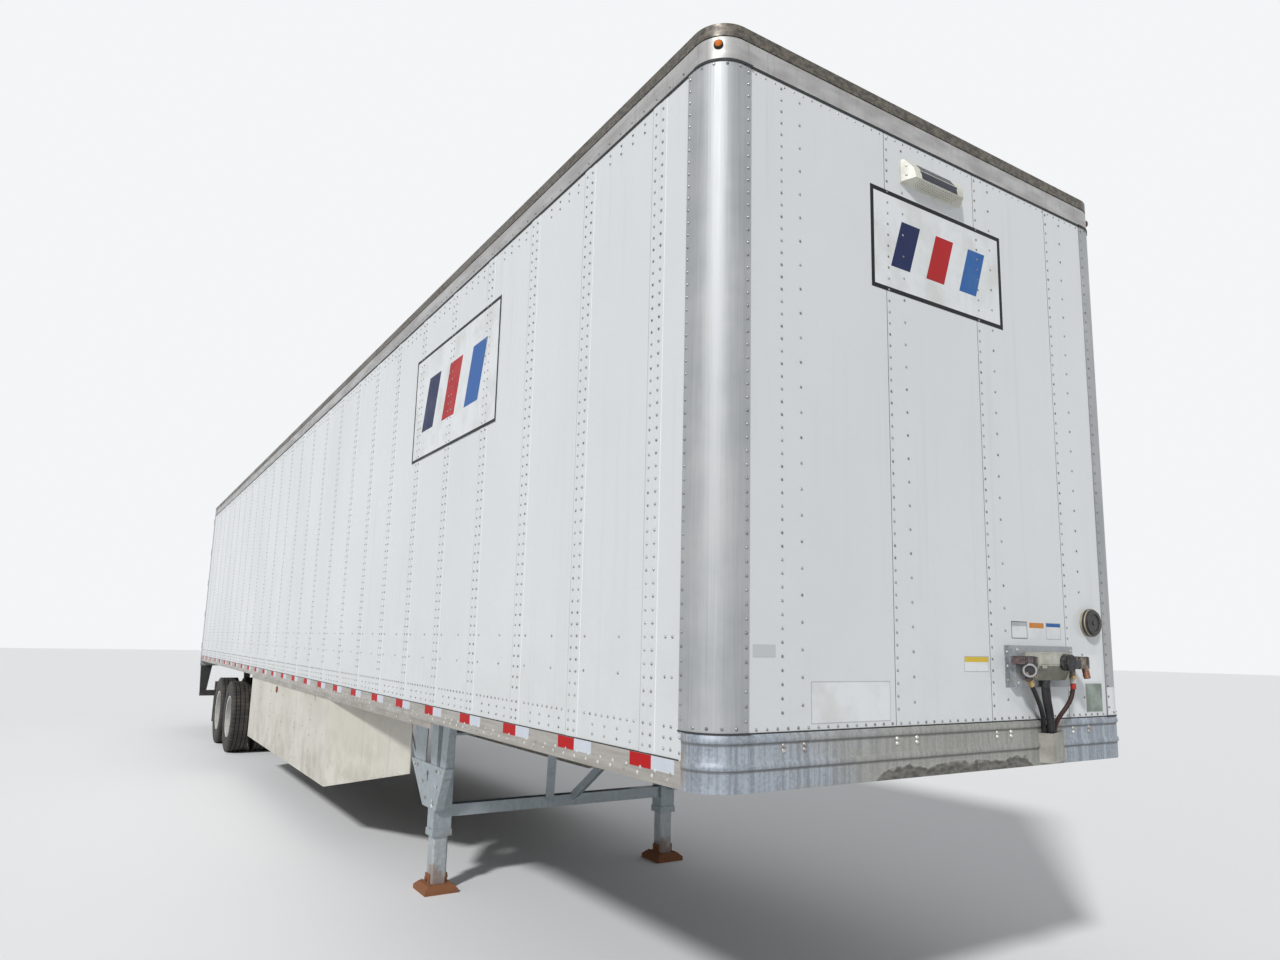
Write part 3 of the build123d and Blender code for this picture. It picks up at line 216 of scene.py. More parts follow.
def rubber(name, colour, dust, amount):
    """Weathered rubber with a dull bloom and dust."""
    made, tree, shader = finish_of(name, 0.62, Specular_IOR_Level=0.35)
    mask = dusted(tree, 0.0, 2.5, 14.0, amount)
    bloom = noise(tree, (1, 1, 1), 60, 4)
    tint = blend(bloom, colour, tuple(1.7 * part for part in colour))
    coat(shader, blend(mask, tint, dust), fade(bloom, 0.2, 0.8, 0.5, 0.75))
    relief(shader, noise(tree, (1, 1, 1), 420, 3), 0.0004)
    return made


line_rubber = rubber("Line rubber", (0.008, 0.008, 0.009), (0.16, 0.15, 0.13), 0.16)
red_rubber = rubber("Red line rubber", (0.022, 0.006, 0.006), (0.16, 0.14, 0.12), 0.16)
cable_jacket = rubber("Cable jacket", (0.009, 0.009, 0.011), (0.18, 0.17, 0.15), 0.14)
# columns: name, radius, length, finish, and route points as distance out from the nose, place
# across and height over the rails' bottom
hanging_lines = (
    ("left_air_line", 0.010, 0.436, line_rubber, (
        (0.081, 0.388, 0.372), (0.0608, 0.4672, 0.2984), (0.034, 0.541, 0.227),
        (0.014, 0.574, 0.165), (0.012, 0.580, 0.090), (0.012, 0.580, 0.016))),
    ("right_air_line", 0.010, 0.396, red_rubber, (
        (0.081, 0.712, 0.382), (0.081, 0.712, 0.322), (0.068, 0.680, 0.262), (0.046, 0.638, 0.208),
        (0.017, 0.646, 0.158), (0.012, 0.657, 0.087), (0.012, 0.657, 0.016))),
    ("left_cable", 0.012, 0.376, cable_jacket, (
        (0.044, 0.543, 0.379), (0.044, 0.543, 0.304), (0.050, 0.556, 0.232),
        (0.034, 0.592, 0.165), (0.014, 0.606, 0.091), (0.014, 0.606, 0.016))),
    ("right_cable", 0.012, 0.375, cable_jacket, (
        (0.044, 0.570, 0.379), (0.044, 0.570, 0.304), (0.046, 0.585, 0.232),
        (0.026, 0.620, 0.165), (0.014, 0.632, 0.091), (0.014, 0.632, 0.016))),
)
for name, radius, length, rubber_finish, route in hanging_lines:
    curve = bpy.data.curves.new(name + "_hose", "CURVE")
    curve.dimensions = "3D"
    curve.resolution_u = 16
    curve.bevel_depth = radius
    curve.bevel_resolution = 6
    curve.use_fill_caps = True
    spline = curve.splines.new("NURBS")
    spline.points.add(len(route) - 1)
    points = [Vector((nose + x, y, rail_bottom + z)) for x, y, z in route]
    for knot, point in zip(spline.points, points):
        knot.co = (*point, 1)
    spline.order_u = 3
    spline.use_endpoint_u = True
    curve.materials.append(rubber_finish)
    hose = placed(name + "_hose", curve)
    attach(hose, "trailer")
    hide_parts(name)


# Light and ground: a soft sun from the front right, even light from all round, and a plain pale
# floor that keeps the trailer's shadow.
sun_data = bpy.data.lights.new("Sun", "SUN")
sun_data.energy = 2.35
sun_data.angle = math.radians(6)
sun = placed("Sun", sun_data)
sun.rotation_euler = Vector((0.48, -0.635, 0.606)).to_track_quat("Z", "Y").to_euler()

world = bpy.data.worlds.new("Studio")
bpy.context.scene.world = world
world.use_nodes = True
surround = world.node_tree
seen = put(surround, "ShaderNodeLightPath").outputs
direct = calc("MAXIMUM", seen["Is Camera Ray"], seen["Is Glossy Ray"])
direct = calc("MAXIMUM", direct, seen["Is Transmission Ray"])
background = surround.nodes["Background"]
surround.links.new(blend(direct, (0.41, 0.415, 0.425), (0.9, 0.915, 0.93)), background.inputs["Color"])
bpy.context.scene.view_settings.view_transform = "Standard"

floor_finish, tree, shader = finish_of("Floor", 0.9, Specular_IOR_Level=0.1)
shader.inputs["Base Color"].default_value = (0.86, 0.865, 0.87, 1)
ground = bmesh.new()
bmesh.ops.create_circle(ground, cap_ends=True, segments=64, radius=90)
ground_mesh = bpy.data.meshes.new("Ground")
ground.to_mesh(ground_mesh)
ground.free()
ground_mesh.materials.append(floor_finish)
ground_floor = placed("Ground", ground_mesh)


# Side walls: painted sheets, 610 mm from post to post, riveted to a post at each lap by two
# columns of rivets, and to the rails by rows at the top and at the bottom. Each lap carries a
# painted highlight strip along one edge and a painted shade strip, mottled with grime, along the other.
def piece(name, shape, finishes, body="trailer", smooth=35):
    """Closes a shape, turns its faces outwards, and makes it a piece that rides on a body."""
    bmesh.ops.remove_doubles(shape, verts=shape.verts, dist=1e-6)
    bmesh.ops.recalc_face_normals(shape, faces=shape.faces)
    mesh = bpy.data.meshes.new(name)
    shape.to_mesh(mesh)
    shape.free()
    mesh.shade_smooth()
    mesh.set_sharp_from_angle(angle=math.radians(smooth))
    return place_mesh(name, mesh, finishes, body)


def place_mesh(name, mesh, finishes, body):
    if mesh.materials:
        mesh.materials.clear()
    for finish in finishes:
        mesh.materials.append(finish)
    made = placed(name, mesh)
    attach(made, body)
    return made


def dress(finish, *names):
    """Gives CAD nodes their finish."""
    for name in names:
        for slot in nodes[name].material_slots:
            slot.material = finish


def block(shape, low, high, ease=0.0, finish=0):
    """Adds a block between two opposite corners, with its edges eased."""
    low, high = zip(*map(sorted, zip(low, high)))
    size = Vector(high) - Vector(low)
    middle = (Vector(high) + Vector(low)) / 2
    matrix = Matrix.Translation(middle) @ Matrix.Diagonal((*size, 1))
    made = bmesh.ops.create_cube(shape, size=1, matrix=matrix)["verts"]
    faces = {face for vert in made for face in vert.link_faces}
    for face in faces:
        face.material_index = finish
    if ease:
        edges = list({edge for vert in made for edge in vert.link_edges})
        bmesh.ops.bevel(shape, geom=edges, offset=ease, segments=1, affect="EDGES", profile=0.5)


def prism(shape, outline, axis, start, end, finish=0):
    """Adds an outline in the two other axes, run along x, y or z."""
    rows = []
    for along in (start, end):
        corners = [list(point) for point in outline]
        for corner in corners:
            corner.insert("xyz".index(axis), along)
        rows.append([shape.verts.new(corner) for corner in corners])
    first, last = rows
    faces = [shape.faces.new(first), shape.faces.new(last)]
    for i in range(len(outline)):
        j = (i + 1) % len(outline)
        faces.append(shape.faces.new((first[i], first[j], last[j], last[i])))
    for face in faces:
        face.material_index = finish


def turned(shape, profile, centre, axis="y", steps=48, closed=False, finish=0):
    """Adds a profile of place along the axis and radius, turned round the axis through a centre."""
    made = []
    along_axis = {"x": Vector((1, 0, 0)), "y": Vector((0, 1, 0)), "z": Vector((0, 0, 1))}[axis]
    first_arm = Vector((0, 0, 1)) if axis != "z" else Vector((1, 0, 0))
    second_arm = along_axis.cross(first_arm)
    rings = []
    for along, radius in profile:
        middle = Vector(centre) + along * along_axis
        if radius < 1e-6:
            made.append(shape.verts.new(middle))
            rings.append(made[-1:] * steps)
            continue
        ring = []
        for i in range(steps):
            angle = 2 * math.pi * i / steps
            arm = math.cos(angle) * first_arm + math.sin(angle) * second_arm
            ring.append(shape.verts.new(middle + radius * arm))
        made += ring
        rings.append(ring)
    pairs = list(zip(rings, rings[1:]))
    if closed:
        pairs.append((rings[-1], rings[0]))
    for one, other in pairs:
        for i in range(steps):
            j = (i + 1) % steps
            corners = []
            for vert in (one[i], one[j], other[j], other[i]):
                if vert not in corners:
                    corners.append(vert)
            if len(corners) > 2:
                shape.faces.new(corners).material_index = finish
    return made


def disc(shape, start, end, radius, centre, axis="y", steps=16):
    """Adds a plain round bar or plate between two places along an axis."""
    turned(shape, ((start, 0), (start, radius), (end, radius), (end, 0)), centre, axis, steps)


def round_places(radius, count, first=0.0):
    """Places spread evenly round a circle, each as its two coordinates from the middle."""
    turns = [first + 2 * math.pi * i / count for i in range(count)]
    return [(radius * math.cos(angle), radius * math.sin(angle)) for angle in turns]


def geometry_tree(name, inputs):
    """A Geometry Nodes tree with named inputs; columns: name, kind and default."""
    tree = bpy.data.node_groups.new(name, "GeometryNodeTree")
    tree.interface.new_socket("Geometry", in_out="INPUT", socket_type="NodeSocketGeometry")
    for title, kind, value in inputs:
        socket = tree.interface.new_socket(title, in_out="INPUT", socket_type="NodeSocket" + kind)
        if value is not None:
            socket.default_value = value
    tree.interface.new_socket("Geometry", in_out="OUTPUT", socket_type="NodeSocketGeometry")
    return tree, tree.nodes.new("NodeGroupInput").outputs, tree.nodes.new("NodeGroupOutput").inputs


def grown(name, start, tree, values, body, finishes, smooth=35):
    """Runs a Geometry Nodes tree on a mesh with its inputs set, and keeps the plain mesh."""
    carrier = placed(name + "_points", start)
    modifier = carrier.modifiers.new("Nodes", "NODES")
    modifier.node_group = tree
    for item in tree.interface.items_tree:
        if item.in_out == "INPUT" and item.name in values:
            modifier[item.identifier] = values[item.name]
    bpy.context.view_layer.update()
    ready = carrier.evaluated_get(bpy.context.evaluated_depsgraph_get())
    mesh = bpy.data.meshes.new_from_object(ready)
    carrier.modifiers.remove(modifier)
    bpy.data.objects.remove(carrier)
    mesh.name = name
    mesh.shade_smooth()
    mesh.set_sharp_from_angle(angle=math.radians(smooth))
    return place_mesh(name, mesh, finishes, body)


def plant(tree, given, out, shape, **turning):
    """Ends a tree: the shape stands on every point, as plain mesh in its finish."""
    copies = put(tree, "GeometryNodeInstanceOnPoints", Points=given["Geometry"],
                 Instance=shape.outputs["Mesh"], **turning)
    whole = put(tree, "GeometryNodeRealizeInstances", Geometry=copies.outputs[0])
    dressed = put(tree, "GeometryNodeSetMaterial", Geometry=whole.outputs[0], Material=given["Finish"])
    tree.links.new(dressed.outputs[0], out[0])


# The rivet tree: a low round head on each point, turned to the way that the point faces.
rivet_tree, given, out = geometry_tree("Rivets", (
    ("Head radius", "Float", 0.006), ("Head height", "Float", 0.003), ("Sides", "Int", 8),
    ("Crown", "Float", 0.5), ("Finish", "Material", None),
))
crown_radius = calc("MULTIPLY", given["Head radius"], given["Crown"])
head = put(rivet_tree, "GeometryNodeMeshCone", Vertices=given["Sides"], Radius_Top=crown_radius,
           Radius_Bottom=given["Head radius"], Depth=given["Head height"])
facing = put(rivet_tree, "GeometryNodeInputNamedAttribute", {"data_type": "FLOAT_VECTOR"}, Name="facing")
aim = put(rivet_tree, "FunctionNodeAlignRotationToVector", {"axis": "Z"}, Vector=facing.outputs[0])
plant(rivet_tree, given, out, head, Rotation=aim.outputs[0])


def rivets(name, places, finish, body="trailer", radius=0.006, height=0.003, sides=8, crown=0.5):
    """Heads on a list of (point, facing)."""
    points = bpy.data.meshes.new(name)
    points.from_pydata([point for point, facing in places], [], [])
    attribute = points.attributes.new("facing", "FLOAT_VECTOR", "POINT")
    for i, (point, facing) in enumerate(places):
        attribute.data[i].vector = facing
    values = {"Head radius": radius, "Head height": height, "Sides": sides, "Crown": crown, "Finish": finish}
    return grown(name, points, rivet_tree, values, body, [finish])


def hex_bolts(name, places, radius, height, body="trailer", crown=0.9):
    """Hexagon bolt heads on a list of (point, facing)."""
    rivets(name, places, fastener_finish, body, radius, height, 6, crown)


# Rain leaves long thin streaks on upright sheets.
streak_group, given, out = shader_group(
    "Rain streaks",
    (("Across", "Float", 18.0), ("Down", "Float", 0.5), ("Amount", "Float", 0.5)),
    (("Mask", "Float"),),
)
place = here(streak_group)
spread = put(streak_group, "ShaderNodeCombineXYZ", X=given["Across"], Y=given["Across"],
             Z=given["Down"]).outputs[0]
run = put(streak_group, "ShaderNodeMapping", Vector=place, Scale=spread).outputs[0]
lines = put(streak_group, "ShaderNodeTexNoise", Vector=run, Scale=1.0, Detail=3.0, Roughness=0.6).outputs[0]
areas = put(streak_group, "ShaderNodeTexNoise", Vector=place, Scale=0.9, Detail=2.0).outputs[0]
wet = calc("MULTIPLY", fade(lines, 0.5, 0.78), fade(areas, 0.35, 0.65))
streak_group.links.new(calc("MULTIPLY", wet, given["Amount"]), out["Mask"])


def worn_finish(name, rough, metallic, grain, wear, fresh, worn):
    """A finish that wears in patches; grain is scale and detail, wear is where the patches start and end."""
    made, tree, shader = finish_of(name, rough, metallic)
    coat(shader, blend(fade(noise(tree, (1, 1, 1), *grain), *wear), fresh, worn))
    return made


def rain(tree, across, down, amount):
    """Where rain has left its streaks."""
    return use_group(tree, streak_group, Across=across, Down=down, Amount=amount)["Mask"]


panel_paint, tree, shader = finish_of("Panel paint", 0.3, Specular_IOR_Level=0.5)
clouds = noise(tree, (0.6, 0.6, 0.3), 1.4, 3)
paint = blend(fade(clouds, 0.3, 0.7), (0.645, 0.668, 0.676), (0.62, 0.645, 0.655))
streaks = rain(tree, 26.0, 0.45, 0.3)
paint = blend(streaks, paint, (0.48, 0.475, 0.45))
splash = dusted(tree, rail_bottom, rail_bottom + 0.9, 5.0, 0.16)
coat(shader, blend(splash, paint, (0.5, 0.47, 0.42)), fade(clouds, 0.3, 0.7, 0.24, 0.36))
relief(shader, noise(tree, (1.0, 1.0, 0.45), 2.2, 1), 0.006)

rivet_finish = worn_finish("Wall rivets", 0.38, 0.25, (9, 3), (0.45, 0.6), (0.30, 0.305, 0.31),
                           (0.16, 0.155, 0.15))

body_length = 16.154
tail = nose - body_length
wall_tail = nose - 16.05
post_pitch = 0.61
rivet_pitch = 0.05
column_gap = 0.051
first_post_setback = 0.396
post_count = 26
wall_face = 1.294
header_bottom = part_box("corner_posts")[1].z - 0.09
post_places = [nose - first_post_setback - post_pitch * i for i in range(post_count)]


def upright_run(low, high, pitch):
    count = int((high - low) / pitch)
    return [low + (i + 0.5) * (high - low) / count for i in range(count)]


# Each wall's sheets lap over the post behind them; the lap is a shallow step 100 mm wide.
rib_tree, given, out = geometry_tree("Ribs", (("Length", "Float", 0.1), ("Thickness", "Float", 0.001),
                                              ("Height", "Float", 1.0), ("Finish", "Material", None)))
rib_size = put(rib_tree, "ShaderNodeCombineXYZ", X=given["Length"], Y=given["Thickness"], Z=given["Height"])
rib = put(rib_tree, "GeometryNodeMeshCube", Size=rib_size.outputs[0])
plant(rib_tree, given, out, rib)


def ribs(name, places, size, finish, body="trailer"):
    """Plain strips of one size, upright or level, centred on points."""
    points = bpy.data.meshes.new(name)
    points.from_pydata(places, [], [])
    values = {"Length": size[0], "Thickness": size[1], "Height": size[2], "Finish": finish}
    return grown(name, points, rib_tree, values, body, [finish])


dress(panel_paint, "side_walls", "front_wall")
rail_top = rail_bottom + 0.096
lap_step = 0.0012
lap_parts = ((0.0, 0.102, 0.0), (-0.022, 0.052, lap_step))
# Lap edge strips: a pale painted highlight, and a darker painted shade mottled with grime.
lap_edge_painted_highlight, tree, shader = finish_of("Lap edge painted highlight", 0.5, Specular_IOR_Level=0.3)
shader.inputs["Base Color"].default_value = (0.84, 0.845, 0.845, 1)
lap_edge_painted_shade_and_grime, tree, shader = finish_of("Lap edge painted shade and grime", 0.7, Specular_IOR_Level=0.2)
coat(shader, blend(noise(tree, (1, 1, 0.3), 14, 4), (0.3, 0.3, 0.29), (0.56, 0.56, 0.55)))
lap_edges = (("highlit", 0.0527, lap_edge_painted_highlight), ("shaded_grimy", -0.0527, lap_edge_painted_shade_and_grime))
low_heights = (0.208, 0.168, 0.128)
low_rows = tuple(zip(low_heights, (0.05, 0.1, 0.1)))
top_rows = ((0.04, 0.1), (0.08, 0.1))
level_rows = [(rail_bottom + height, pitch) for height, pitch in low_rows]
level_rows += [(header_bottom - drop, pitch) for drop, pitch in top_rows]
panel_dots = (0.384, 0.529)
centre = (rail_top + header_bottom) / 2
sheet_height = header_bottom - rail_top
for side, word in ((1, "left"), (-1, "right")):
    for number, (offset, width, raised) in enumerate(lap_parts):
        level_places = [(x + offset, side * (wall_face + raised + lap_step / 2), centre) for x in post_places]
        ribs(f"{word}_wall_laps_{number}", level_places, (width, lap_step, sheet_height - 0.002), panel_paint)
    for edge_word, offset, finish in lap_edges:
        level_places = [(x + offset, side * (wall_face + lap_step / 2), centre) for x in post_places]
        edge_size = (0.0034, lap_step, sheet_height - 0.014)
        ribs(f"{word}_wall_{edge_word}_lap_edges", level_places, edge_size, finish)
    facing = (0, side, 0)
    proud = side * (wall_face + 0.001)
    lapped = side * (wall_face + 2 * lap_step + 0.001)
    places = []
    for x in post_places:
        for across in (-column_gap / 2, column_gap / 2):
            for z in upright_run(rail_bottom + 0.25, header_bottom - 0.02, rivet_pitch):
                places.append(((x + across, lapped, z), facing))
            for height in low_heights:
                places.append(((x + across, lapped, rail_bottom + height), facing))
    for i, x in enumerate(post_places):
        end = post_places[i + 1] if i + 1 < post_count else wall_tail
        start = x - column_gap - 0.02
        for z, pitch in level_rows:
            count = int((start - end - column_gap) / pitch)
            for j in range(count):
                places.append(((start - (j + 0.5) * pitch, proud, z), facing))
        for height in panel_dots:
            for ahead in (0.095, 0.385):
                if x - post_pitch + ahead > nose - 15.9:
                    places.append(((x - post_pitch + ahead, proud, rail_bottom + height), facing))
    for height in panel_dots + low_heights:
        for setback in (0.236, 0.282):
            places.append(((nose - setback, proud, rail_bottom + height), facing))
    for height in (0.176, 0.123):
        places.append(((nose - 0.18, proud, rail_bottom + height), facing))
    rivets(f"{word}_wall_rivets", places, rivet_finish, radius=0.0062, sides=7)


# Front wall: one row of sheets between the corner posts, each riveted to an upright hat section
# by a close column and an open column, and to the bumper by a row at the bottom.
front_face = nose - 0.006
front_columns = ((-0.968, 0.05), (-0.870, 0.1), (-0.359, 0.05), (-0.263, 0.1), (0.249, 0.05), (0.349, 0.1),
                 (0.824, 0.05), (0.941, 0.1))
sheet_edges = (-0.373, 0.235, 0.810)
bumper_top = rail_bottom + 0.197
facing = (1, 0, 0)
places = []
for y, pitch in front_columns:
    for z in upright_run(bumper_top + 0.045, header_bottom - 0.01, pitch):
        places.append(((front_face + 0.0018, y, z), facing))
for i in range(45):
    places.append(((front_face + 0.0018, -1.09 + i * 0.0496, bumper_top + 0.015), facing))
nose_fittings = ((0.32, 0.82, 0.33, 0.54), (0.93, 1.07, 0.57, 0.72))
clear = [
    place for place in places
    if not any(left < place[0][1] < right and low < place[0][2] - rail_bottom < high
               for left, right, low, high in nose_fittings)
]
rivets("front_wall_rivets", clear, rivet_finish, height=0.0032)

sheets = bmesh.new()
bounds_across = (-1.127,) + sheet_edges + (1.127,)
for left, right in zip(bounds_across, bounds_across[1:]):
    block(sheets, (front_face - 0.0005, left + 0.0015, bumper_top + 0.001),
          (front_face + 0.0012, right - 0.0015, header_bottom - 0.001), 0.0005)
piece("front_wall_sheets", sheets, [panel_paint])


# Corner posts: rolled stainless steel round the nose's upright corners, riveted over both walls
# along their edges; the rolling leaves a fine grain and the metal carries long soft highlights.
grain_group, given, out = shader_group(
    "Brushed grain",
    (("Across", "Float", 3.0), ("Along", "Float", 300.0), ("Depth", "Float", 1.0)),
    (("Height", "Float"), ("Shade", "Float")),
)
place = here(grain_group)
spread = put(grain_group, "ShaderNodeCombineXYZ", X=given["Across"], Y=given["Across"],
             Z=given["Along"]).outputs[0]
run = put(grain_group, "ShaderNodeMapping", Vector=place, Scale=spread).outputs[0]
fine = put(grain_group, "ShaderNodeTexNoise", Vector=run, Scale=1.0, Detail=4.0, Roughness=0.7).outputs[0]
broad = put(grain_group, "ShaderNodeTexNoise", Vector=place, Scale=2.3, Detail=4.0, Roughness=0.6).outputs[0]
grain_group.links.new(calc("MULTIPLY", fine, given["Depth"]), out["Height"])
grain_group.links.new(calc("ADD", calc("MULTIPLY", fine, 0.4), calc("MULTIPLY", broad, 0.6)), out["Shade"])

post_steel, tree, shader = finish_of("Rolled stainless steel", 0.54, 0.65)
grain = use_group(tree, grain_group, Across=170.0, Along=1.6, Depth=1.0)
tint = blend(fade(grain["Shade"], 0.32, 0.68), (0.33, 0.345, 0.36), (0.46, 0.465, 0.465))
stain = rain(tree, 30.0, 0.6, 0.5)
coat(shader, blend(stain, tint, (0.27, 0.275, 0.28)), fade(grain["Shade"], 0.3, 0.7, 0.5, 0.64))
relief(shader, grain["Height"], 0.0006)
dress(post_steel, "corner_posts")

corner_radius = 0.14
corner_x = nose - corner_radius
corner_y = 1.16


def corner_arm(degrees, side):
    """The level direction out of a round corner, from straight ahead at 0 to sideways at 90."""
    angle = math.radians(degrees)
    return Vector((math.cos(angle), side * math.sin(angle), 0))


post_rivet_finish = worn_finish("Post rivets", 0.32, 0.7, (14, 3), (0.4, 0.6), (0.34, 0.35, 0.36),
                                (0.2, 0.2, 0.205))
places = []
for side in (-1, 1):
    for z in upright_run(bumper_top + 0.02, header_bottom - 0.01, rivet_pitch):
        places.append(((nose - 0.171, side * 1.301, z), (0, side, 0)))
        places.append(((nose + 0.001, side * 1.139, z), (1, 0, 0)))
    for degrees in (8, 30, 52, 74):
        arm = corner_arm(degrees, side)
        for z in (bumper_top + 0.02, header_bottom - 0.022):
            places.append((Vector((corner_x, side * corner_y, z)) + 0.141 * arm, arm))
rivets("corner_post_rivets", places, post_rivet_finish, radius=0.0062)


# Roof edge: an extruded aluminium rail along each side and a header round the nose, with a darker
# upper band over a brighter foot, and black sealant along the sheets' edges; the black strips at the
# corner posts' front edges are painted shadow gaps.
rail_metal, tree, shader = finish_of("Weathered aluminium", 0.42, 0.55)
patina = noise(tree, (0.5, 1, 3), 6, 4)
tint = blend(fade(patina, 0.3, 0.7), (0.46, 0.455, 0.45), (0.35, 0.34, 0.335))
height = axes(here(tree))[2]
band_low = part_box("side_walls")[1].z
# Above the wall's top edge the rail turns darker and blotched.
dark_band = fade(height, band_low + 0.006, band_low + 0.0065)
blotch_noise = noise(tree, (0.6, 0.6, 1), 55, 6, 0.75)
upper_band_tint = blend(fade(blotch_noise, 0.36, 0.64), (0.165, 0.142, 0.115), (0.055, 0.051, 0.046))
tint = blend(dark_band, tint, upper_band_tint)
streaks = rain(tree, 40.0, 6.0, 0.6)
coat(shader, blend(streaks, tint, (0.22, 0.2, 0.17)), fade(patina, 0.3, 0.7, 0.35, 0.55))
dress(rail_metal, "top_rails", "front_header")

sealant_and_gap_shade = rubber("Black sealant and painted gap shade", (0.02, 0.02, 0.021), (0.1, 0.095, 0.09), 0.3)
rail_lip = 1.2945
seal_and_gap_shape = bmesh.new()
for side in (-1, 1):
    block(seal_and_gap_shape, (wall_tail, side * rail_lip - 0.0035, header_bottom - 0.009),
          (nose - 0.185, side * rail_lip + 0.0035, header_bottom - 0.0002), 0.001)
    block(seal_and_gap_shape, (wall_tail, side * rail_lip - 0.0035, rail_top + 0.0002),
          (nose - 0.185, side * rail_lip + 0.0035, rail_top + 0.004), 0.001)
block(seal_and_gap_shape, (front_face - 0.002, -1.125, header_bottom - 0.010),
      (front_face + 0.0045, 1.125, header_bottom - 0.0002), 0.001)
for side in (-1, 1):
    bead = []
    for radius, stations in ((0.1395, range(13)), (0.1437, range(12, -1, -1))):
        for i in stations:
            turn_angle = math.radians(7.5 * i)
            bead.append((corner_x + radius * math.cos(turn_angle),
                         side * (corner_y + radius * math.sin(turn_angle))))
    for low_z, high_z in ((bumper_top + 0.0002, bumper_top + 0.006),
                          (header_bottom - 0.011, header_bottom - 0.0002)):
        prism(seal_and_gap_shape, bead[::side], "z", low_z, high_z)
        for low, high in (((nose - 0.0005, 1.12), (nose + 0.0045, corner_y)),
                          ((nose - 0.187, 1.2995), (corner_x, 1.3012))):
            near, far = sorted((side * low[1], side * high[1]))
            block(seal_and_gap_shape, (low[0], near, low_z), (high[0], far, high_z))
# Black strips down the front sheets' joints are sealant; the two at y = 1.127 and -1.127, along the corner
# posts' edges, are painted shadow of the gap between post and wall.
for y in bounds_across:
    block(seal_and_gap_shape, (front_face - 0.0004, y - 0.0014, bumper_top + 0.004),
          (front_face + 0.0009, y + 0.0014, header_bottom - 0.01))
block(seal_and_gap_shape, (front_face - 0.002, -1.125, bumper_top + 0.0002),
      (front_face + 0.0045, 1.125, bumper_top + 0.005), 0.001)
piece("body_sealant_and_shadow_gaps", seal_and_gap_shape, [sealant_and_gap_shade])
places = [((front_face + 0.0012, -1.1 + 0.05 * i, header_bottom - 0.024), (1, 0, 0)) for i in range(45)]
rivet_step = 0.1
for side in (-1, 1):
    for i in range(158):
        places.append(((nose - 0.22 - i * rivet_step, side * 1.3012, header_bottom + 0.02), (0, side, 0)))
rivets("roof_edge_rivets", places, rivet_finish, radius=0.005, height=0.0026, sides=6)

roof_sheet, tree, shader = finish_of("Roof sheet", 0.4, 0.15)
place = here(tree)
bow_waves = put(tree, "ShaderNodeTexWave", {"bands_direction": "X"}, Vector=place, Scale=0.5156,
                Distortion=0.0).outputs[1]
clouds = noise(tree, (0.5, 1, 1), 1.7, 5)
tint = blend(fade(clouds, 0.3, 0.7), (0.6, 0.61, 0.615), (0.53, 0.53, 0.52))
coat(shader, tint, fade(clouds, 0.3, 0.7, 0.3, 0.55))
relief(shader, calc("ADD", calc("MULTIPLY", bow_waves, 0.6), clouds), 0.006)
dress(roof_sheet, "roof")


# Bottom rails: extruded aluminium, soiled by the road, bolted to every crossmember by two rows of
# round-headed fasteners, with pairs of red and white marking tape on the upper half.
rail_alloy, tree, shader = finish_of("Soiled aluminium rail", 0.46, 0.3)
height = axes(here(tree))[2]
wear = noise(tree, (0.4, 1, 5), 9, 5, 0.6)
tint = blend(fade(wear, 0.3, 0.7), (0.435, 0.415, 0.38), (0.345, 0.325, 0.295))
mud = calc("MULTIPLY", fade(height, rail_bottom - 0.01, rail_bottom + 0.03, 1.0, 0.0),
           fade(noise(tree, (1, 1, 1), 5, 4), 0.35, 0.65, 0.0, 0.5))
tint = blend(mud, tint, (0.27, 0.24, 0.205))
grime = rain(tree, 34.0, 3.0, 0.4)
coat(shader, blend(grime, tint, (0.27, 0.245, 0.22)), fade(wear, 0.3, 0.7, 0.38, 0.58))
relief(shader, wear, 0.0012)
dress(rail_alloy, "bottom_rails", "skirt_rails")

fastener_finish = worn_finish("Rail fasteners", 0.4, 0.35, (20, 3), (0.45, 0.62), (0.62, 0.61, 0.58),
                              (0.33, 0.3, 0.27))
fastener_pitch = 0.1017
rail_face = 1.3003
places = []
for side in (-1, 1):
    for i in range(155):
        setback = 0.225 + i * fastener_pitch
        places.append(((nose - setback, side * rail_face, rail_bottom + 0.045), (0, side, 0)))
        places.append(((nose - setback - 0.02, side * rail_face, rail_bottom + 0.024), (0, side, 0)))
rivets("rail_fasteners", places, fastener_finish, radius=0.0085, height=0.0036)


def tape_finish(name, colour, glint):
    """Marking tape: small lens cells under a gloss film, dirtied at random."""
    made, tree, shader = finish_of(name, 0.5, Specular_IOR_Level=0.12)
    place = here(tree)
    cells = put(tree, "ShaderNodeTexVoronoi", Vector=place, Scale=260.0)
    tint = blend(fade(cells.outputs["Distance"], 0.1, 0.5), colour, glint)
    soil = dusted(tree, rail_bottom, rail_bottom + 0.2, 8.0, 0.3)
    coat(shader, blend(soil, tint, tuple(0.7 * part for part in colour)))
    relief(shader, cells.outputs["Distance"], 0.0002)
    return made


red_tape = tape_finish("Red marking tape", (0.55, 0.011, 0.012), (0.42, 0.008, 0.01))
white_tape = tape_finish("White marking tape", (0.66, 0.69, 0.74), (0.56, 0.6, 0.66))
tape_length = 0.152
tape_size = (tape_length, 0.0006, 0.05)
for side, word in ((1, "left"), (-1, "right")):
    middles = [nose - 0.354 - post_pitch * i for i in range(post_count)]
    level = (side * (rail_face + 0.0001), rail_bottom + 0.0705)
    ribs(word + "_rail_red_tape", [(x - tape_length / 2, *level) for x in middles], tape_size, red_tape)
    ribs(word + "_rail_white_tape", [(x + tape_length / 2, *level) for x in middles], tape_size, white_tape)


